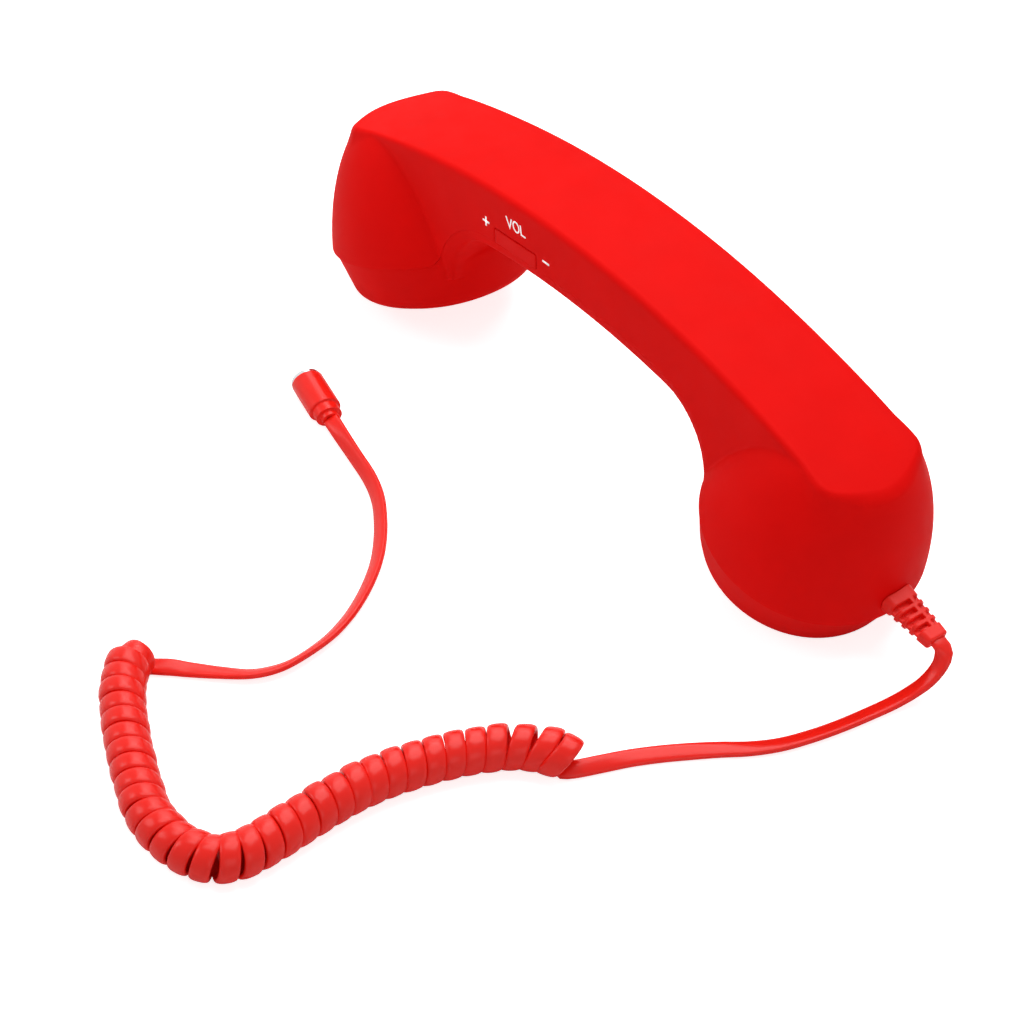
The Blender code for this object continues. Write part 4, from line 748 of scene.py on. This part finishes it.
def rise(value):
    """From 0 to 1, with a soft start and end."""
    value = np.clip(value, 0, 1)
    return value * value * (3 - 2 * value)


def waver(run, waves):
    """A factor near 1 that wanders along the run."""
    value = 1
    for size, rate, phase in waves:
        value = value + size * np.sin(run * rate + phase)
    return value


def cord_spine():
    """Points a step apart on the line that the cord follows, how far it leans, and where the coil starts and ends."""
    out, plug = relief_matrix(), plug_matrix()
    low = RIBBON_THICKNESS / 2 + FLOOR_GAP
    start = [(*(out @ Vector((RELIEF_END - 4 + way, RELIEF_ASIDE, 0))), 0) for way in (0, 3, 6)]
    coil = [(x, y, low, 0) for x, y in COIL_ROUTE]
    end = [(*(plug @ Vector((0, 0, way))), PLUG_LEAN) for way in (-2.0, 1.0)]
    route = smooth_route([*start, *LEAD_ROUTE, *coil, *TAIL_ROUTE, *end], SPINE_STEP)
    spine = route[:, :3]
    ends = (np.linalg.norm(spine[:, :2] - place, axis=1) for place in (COIL_ROUTE[0], COIL_ROUTE[-1]))
    first, last = (np.argmin(away) * SPINE_STEP for away in ends)
    return spine, np.radians(route[:, 3]), first, last


def coil_turns(run, along, wound):
    """The turns made so far along the run. The coil is a little uneven, and tighter where it bends."""
    turning = np.linalg.norm(np.gradient(along, axis=0), axis=1) / SPINE_STEP
    bend = np.convolve(turning, np.ones(BEND_WINDOW) / BEND_WINDOW, "same")
    pitch = COIL_PITCH * waver(run, PITCH_WAVES) * (1 - BEND_TIGHTENING * bend)
    turns = np.cumsum(wound**0.5 / pitch) * SPINE_STEP
    return turns * (round(turns[-1]) / turns[-1])


def cord_line():
    """The cord's centreline, the direction of its flat side and its width, along its run."""
    spine, roll, first, last = cord_spine()
    run = np.arange(len(spine)) * SPINE_STEP
    along = np.gradient(spine, axis=0)
    along /= np.linalg.norm(along, axis=1, keepdims=True)
    wound = rise((run - first) / UNWIND[0] + 0.5) * rise((last - run) / UNWIND[1] + 0.5)
    turns = coil_turns(run, along, wound)
    radius = COIL_RADIUS * wound * waver(run, RADIUS_WAVES)
    fold = rise((run - first + FOLD_RUN) / FOLD_RUN) * rise(1 - (run - first) / FOLD_RUN_IN_COIL)

    fine = np.unique(np.concatenate([
        np.interp(np.arange(0, turns[-1], 1 / POINTS_PER_TURN), turns, run),
        np.arange(0, run[-1], STRAIGHT_STEP), [run[-1]],
    ]))
    fine = fine[np.concatenate([[True], np.diff(fine) > LEAST_STEP])]
    ahead = fine + FOLD_REACH * np.interp(fine, run, fold)
    spine = np.stack([np.interp(ahead, run, values) for values in spine.T], 1)
    along = np.stack([np.interp(ahead, run, values) for values in along.T], 1)
    along /= np.linalg.norm(along, axis=1, keepdims=True)
    roll, wound, fold = (np.interp(fine, run, values) for values in (roll, wound, fold))
    angle = 2 * math.pi * np.interp(fine, run, turns)
    reach = np.interp(fine, run, radius)[:, None]

    side = np.cross(along, (0, 0, 1.0))
    side /= np.linalg.norm(side, axis=1, keepdims=True)
    up = np.cross(side, along)
    radial = -np.cos(angle)[:, None] * up + np.sin(angle)[:, None] * side
    line = spine + reach * (radial + np.array([0, 0, 1.0])) - FOLD_SIDE * fold[:, None] * side
    line[:, 2] += FOLD_LIFT * fold
    lean = FIRST_LEAN * rise(1 - (fine - first) / FIRST_RUN) * wound * (1 + radial[:, 2]) / 2
    line -= lean[:, None] * along
    tangent = np.gradient(line, axis=0)
    tangent /= np.linalg.norm(tangent, axis=1, keepdims=True)
    normal = radial - (radial * tangent).sum(1, keepdims=True) * tangent
    normal /= np.linalg.norm(normal, axis=1, keepdims=True)
    roll = roll - FOLD_ROLL * fold
    normal = normal * np.cos(roll)[:, None] + np.cross(tangent, normal) * np.sin(roll)[:, None]
    return line, normal, 1 + RIBBON_SPREAD * wound


def ribbon_section():
    """The flat cord's outline, with rounded sides."""
    points = []
    for k in range(SECTION_POINTS):
        angle = 2 * math.pi * k / SECTION_POINTS
        c, s = math.cos(angle), math.sin(angle)
        across = RIBBON_WIDTH / 2 * math.copysign(abs(c) ** SECTION_POWERS[0], c)
        lift = RIBBON_THICKNESS / 2 * math.copysign(abs(s) ** SECTION_POWERS[1], s)
        points.append((across, lift))
    return points


def sweep(line, normal, section, width_share):
    """Points and faces of a section carried along a line, with closed ends."""
    tangent = np.gradient(line, axis=0)
    tangent /= np.linalg.norm(tangent, axis=1, keepdims=True)
    width = np.cross(tangent, normal)
    points = []
    for u, v in section:
        points.append(line + u * width * width_share[:, None] + v * normal)
    points = np.stack(points, 1)
    rows, count = points.shape[:2]
    faces = []
    for i in range(rows - 1):
        for k in range(count):
            n = (k + 1) % count
            faces.append((i * count + k, i * count + n, (i + 1) * count + n, (i + 1) * count + k))
    faces.append(tuple(range(count))[::-1])
    faces.append(tuple((rows - 1) * count + k for k in range(count)))
    return points.reshape(-1, 3), faces


def make_cord(material):
    line, normal, width_share = cord_line()
    points, faces = sweep(line, normal, ribbon_section(), width_share)
    points[:, 2] = np.maximum(points[:, 2], FLOOR_GAP)
    cord = add_piece("curly_cord", points, faces, material, creases=60)
    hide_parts("cord_lead", "cord_coil", "cord_tail")


# ---------------------------------------------------------------- strain relief, rocker, plug and marks

RELIEF_START = 27.85  # the dome's radius there
RELIEF_ROOT, RELIEF_TIP = (4.7, 2.6, 2.1), (3.0, 2.0, 1.2)  # half width, half thickness and rounding
SLOT_FIRST, SLOT_PITCH, SLOT_COUNT = 31.6, 2.45, 4
SLOT_HALF, SLOT_DEPTH, BRIDGE_HALF = 0.7, 0.7, 0.5  # the depth is a share of the half thickness
SLOT_WEB_HALF = 0.45  # of the wall that is left between the slots of both sides
RELIEF_DROP = 1.6  # of its root


def relief_field(points):
    """In the strain relief's frame: X outwards along it, Y across its flat side."""
    x, y, z = points.T
    y = y - RELIEF_ASIDE
    share = np.clip((x - RELIEF_START) / (RELIEF_END - RELIEF_START), -0.2, 1)
    width, thick, rounding = (a + (b - a) * share for a, b in zip(RELIEF_ROOT, RELIEF_TIP))
    height = z
    z = z + RELIEF_DROP * (1 - share)
    outer = round_max(np.abs(y) - width, np.abs(z) - thick, rounding)
    body = round_max(outer, x - RELIEF_END, 0.7)
    core = outer + SLOT_DEPTH * thick
    slots = np.full(len(x), FAR)
    for row in range(SLOT_COUNT):
        middle = SLOT_FIRST + SLOT_PITCH * row
        lean = 0.22 if row % 2 else 0.34
        bridge = np.abs(y - np.where(z > 0, lean, -lean) * width) - BRIDGE_HALF
        gate = np.maximum(-bridge, SLOT_WEB_HALF - np.abs(z))
        slots = np.minimum(slots, np.maximum(np.maximum(np.abs(x - middle) - SLOT_HALF, -core), gate))
    body = round_max(body, -slots, 0.15)
    dome = dome_field(x, y + RELIEF_ASIDE, RELIEF_HEIGHT + height) - 0.12
    return round_max(body, -dome, 0.25)


def solid_piece(name, field, low, high, step, matrix, material, body="handset"):
    points, quads = surface_net(field, low, high, step)
    points = settle(field, points, 3)
    matrix = np.array(matrix)
    points = points @ matrix[:3, :3].T + matrix[:3, 3]
    return add_piece(name, points, quads, material, body)


def make_relief(material):
    low, high = (25.5, -6.2, -5.8), (43.8, 6.2, 4.2)
    piece = solid_piece("strain_relief_fine", relief_field, low, high, SOLID_STEP, relief_matrix(), material)
    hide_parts("strain_relief")


def rocker_matrix():
    slope = -math.asin(ROCKER_X / CROWN_RADIUS)
    place = Matrix.Translation((ROCKER_X, -HANDLE_WIDTH / 2, ROCKER_Z))
    return place @ Matrix.Rotation(-slope, 4, "Y")


def rocker_field(points):
    """In the rocker's frame: X along it, Y into the handle. Its face is faintly dished."""
    x, y, z = points.T
    outline = round_max(np.abs(x) - ROCKER_LENGTH / 2, np.abs(z) - ROCKER_HEIGHT / 2, ROCKER_CORNER)
    front = -ROCKER_PROUD - y - ROCKER_DISH * (1 - (x / (ROCKER_LENGTH / 2)) ** 2)
    return round_max(round_max(outline, front, 0.15), y - 3.0, 0.3)


def make_rocker(material):
    low, high = (-9.2, -1.4, -2.8), (9.2, 3.8, 2.8)
    piece = solid_piece("volume_rocker_fine", rocker_field, low, high, SOLID_STEP, rocker_matrix(), material, "rocker")
    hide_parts("volume_rocker")


def turned(name, profile, steps, matrix, material, creases=35):
    """A closed profile of (radius, height) turned about its axis."""
    points, faces = [], []
    rows = len(profile)
    for k in range(steps):
        angle = 2 * math.pi * k / steps
        for radius, height in profile:
            points.append(matrix @ Vector((radius * math.cos(angle), radius * math.sin(angle), height)))
    for k in range(steps):
        n = (k + 1) % steps
        for i in range(rows):
            j = (i + 1) % rows
            faces.append((k * rows + i, n * rows + i, n * rows + j, k * rows + j))
    piece = add_piece(name, points, faces, material, creases=creases)
    bm = bmesh.new()
    bm.from_mesh(piece.data)
    bmesh.ops.remove_doubles(bm, verts=bm.verts, dist=1e-7)
    bmesh.ops.dissolve_degenerate(bm, edges=bm.edges, dist=1e-8)
    bmesh.ops.recalc_face_normals(bm, faces=bm.faces)
    bm.to_mesh(piece.data)
    bm.free()
    return piece


def rounded(corners, steps=4):
    """A profile with each corner (radius, height, rounding) rounded."""
    out = []
    count = len(corners)
    for i, (r, h, fillet) in enumerate(corners):
        here = np.array([r, h])
        if fillet == 0:
            out.append(tuple(here))
            continue
        before = np.array(corners[i - 1][:2]) - here
        after = np.array(corners[(i + 1) % count][:2]) - here
        before, after = before / np.linalg.norm(before), after / np.linalg.norm(after)
        for k in range(steps + 1):
            t = k / steps
            a, b = here + before * fillet, here + after * fillet
            out.append(tuple((1 - t) ** 2 * a + 2 * t * (1 - t) * here + t * t * b))
    return out


def make_plug(material, metal):
    place = plug_matrix() @ Matrix.Diagonal((1, PLUG_SPREAD, 1, 1))
    end = 16.3
    body = rounded([
        (1.3, -1.0, 0), (2.0, -1.0, 0.2), (2.15, 0.3, 0.1), (3.0, 0.35, 0.15), (3.05, 3.3, 0.08),
        (3.7, 3.4, 0.3), (3.7, 10.0, 0), (3.7, end, 0.3), (3.1, end, 0.1), (3.1, end - 2.5, 0),
        (0.0, end - 2.5, 0), (0.0, 0.3, 0), (1.3, 0.3, 0),
    ])
    piece = turned("plug_body", body, 64, place, material)
    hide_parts("plug_overmould")
    nose = rounded([(2.5, end - 2.4, 0), (2.5, end + 1.2, 0.2), (3.5, end + 1.2, 0.3), (3.5, end - 2.4, 0)])
    lip = turned("plug_lip", nose, 64, place, metal)
    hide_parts("plug_nose")
    return piece, lip


STROKE, SIGN_STROKE, STROKE_DEPTH = 0.46, 0.58, 0.03
VOL_MIDDLE, VOL_RISE, VOL_LEAN = (-22.4, 58.85), 0.06, -0.2
LETTERS = [  # strokes in the letters' own places: across and up, from the middle of VOL
    [(-3.85, 1.4), (-2.75, -1.4), (-1.65, 1.4)],
    [(0.05 + 1.17 * math.cos(a), 1.42 * math.sin(a)) for a in np.linspace(0, 2 * math.pi, 29)],
    [(2.0, 1.4), (2.0, -1.25), (3.75, -1.25)],
]
SIGNS = [
    [(-36.1, 53.6), (-33.4, 53.75)],
    [(-34.85, 55.05), (-34.65, 52.3)],
    [(-11.45, 54.9), (-8.75, 55.0)],
]


def stroke_mesh(line, width, depth):
    """A flat stroke along a line of (x, z) places, standing out from the handle's side by depth."""
    line = np.array(line, float)
    closed = np.allclose(line[0], line[-1])
    points, faces = [], []
    count = len(line)
    for i in range(count):
        before = line[i] - line[i - 1] if i else (line[-1] - line[-2] if closed else line[1] - line[0])
        after = line[i + 1] - line[i] if i < count - 1 else (line[1] - line[0] if closed else before)
        before, after = before / np.linalg.norm(before), after / np.linalg.norm(after)
        way = before + after
        way /= np.linalg.norm(way)
        side = np.array([-way[1], way[0]]) * width / 2 / max(0.45, float(way @ after))
        for sign in (1, -1):
            x, z = line[i] + sign * side
            points += [(x, -HANDLE_WIDTH / 2 - depth, z), (x, -HANDLE_WIDTH / 2 + 0.02, z)]
    for i in range(count - 1):
        a, b = 4 * i, 4 * (i + 1)
        faces += [
            (a, a + 2, b + 2, b), (a + 2, a + 3, b + 3, b + 2), (a + 3, a + 1, b + 1, b + 3), (a + 1, a, b, b + 1)
        ]
    if not closed:
        last = 4 * (count - 1)
        faces += [(0, 1, 3, 2), (last, last + 2, last + 3, last + 1)]
    return points, faces


def make_marks(material):
    across, up, middle = np.array([1.0, VOL_RISE]), np.array([VOL_LEAN, 1.0]), np.array(VOL_MIDDLE)
    lines = [[tuple(middle + u * across + v * up) for u, v in letter] for letter in LETTERS]
    parts = [stroke_mesh(line, STROKE, STROKE_DEPTH) for line in lines]
    parts += [stroke_mesh(line, SIGN_STROKE, STROKE_DEPTH) for line in SIGNS]
    add_piece("volume_marks", *join_meshes(parts), material)


def dress_inner(nodes):
    """Finishes for the solids that show as they are."""
    black, steel, wire_red = (0.02, 0.02, 0.022), (0.62, 0.62, 0.64), (0.35, 0.02, 0.02)
    kinds = {
        "dark_plastic": surface("dark_plastic", black, 0.5, bump=0.00002),
        "foam": surface("foam", (0.03, 0.03, 0.03), 0.95, grain=1500.0, bump=0.0001, mottle=0.3),
        "board": surface("board", (0.02, 0.16, 0.06), 0.4, grain=500.0, mottle=0.25),
        "plated": surface("plated", steel, 0.28, metallic=1.0, grain=1800.0, mottle=0.05),
        "cast": surface("cast", (0.25, 0.25, 0.26), 0.6, metallic=1.0, grain=700.0, bump=0.00008, mottle=0.2),
        "brass": surface("brass", (0.75, 0.55, 0.22), 0.25, metallic=1.0, grain=1800.0, mottle=0.08),
        "red_wire": surface("red_wire", wire_red, 0.45),
    }
    finish = {
        "foam": ["ear_gasket", "microphone_boot"], "board": ["circuit_board"], "brass": ["plug_contact"],
        "cast": ["ear_weight", "mouth_weight"], "red_wire": ["speaker_wire_near", "speaker_wire_far"],
        "plated": [
            "speaker_frame", "speaker_magnet", "microphone_capsule", "rocker_pin",
            *[name for name in nodes if "screw" in name],
        ],
    }
    chosen = {name: kinds[kind] for kind, names in finish.items() for name in names}
    for name, node in nodes.items():
        if name not in ("call_button", "inner_cable"):
            node.data.materials.clear()
            node.data.materials.append(chosen.get(name, kinds["dark_plastic"]))


make_camera()
make_world()
make_floor()
make_lights()
housing = surface("housing_red", RED, 0.6, grain=2600.0, bump=0.000012, mottle=0.03, specular=0.05)
key_red = surface("key_red", RED, 0.5, grain=2600.0, bump=0.000012, mottle=0.03, specular=0.06)
gloss = surface("cord_red", CORD_RED, 0.24, grain=700.0, bump=0.00001, mottle=0.04, specular=0.26)
rubber = surface("relief_red", CORD_RED, 0.42, grain=1500.0, bump=0.00001, mottle=0.03, specular=0.3)
chrome = surface("chrome", (0.78, 0.78, 0.80), 0.15, metallic=1.0, grain=1500.0, bump=0.000003, mottle=0.03)
# The print is white, and glows a little: painted light that keeps the marks brighter than the lamps alone light them.
print_white_painted_light = surface("print_white_painted_light", (1.0, 0.98, 0.97), 0.5, grain=3000.0, bump=0.000005, mottle=0.03, glow=0.3)
dress_inner(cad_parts)
for name in ("call_button", "inner_cable"):
    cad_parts[name].data.materials.clear()
    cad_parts[name].data.materials.append(housing if name == "call_button" else gloss)
make_housing(housing)
make_relief(rubber)
make_rocker(key_red)
make_marks(print_white_painted_light)
plug = make_plug(gloss, chrome)
make_cord(gloss)
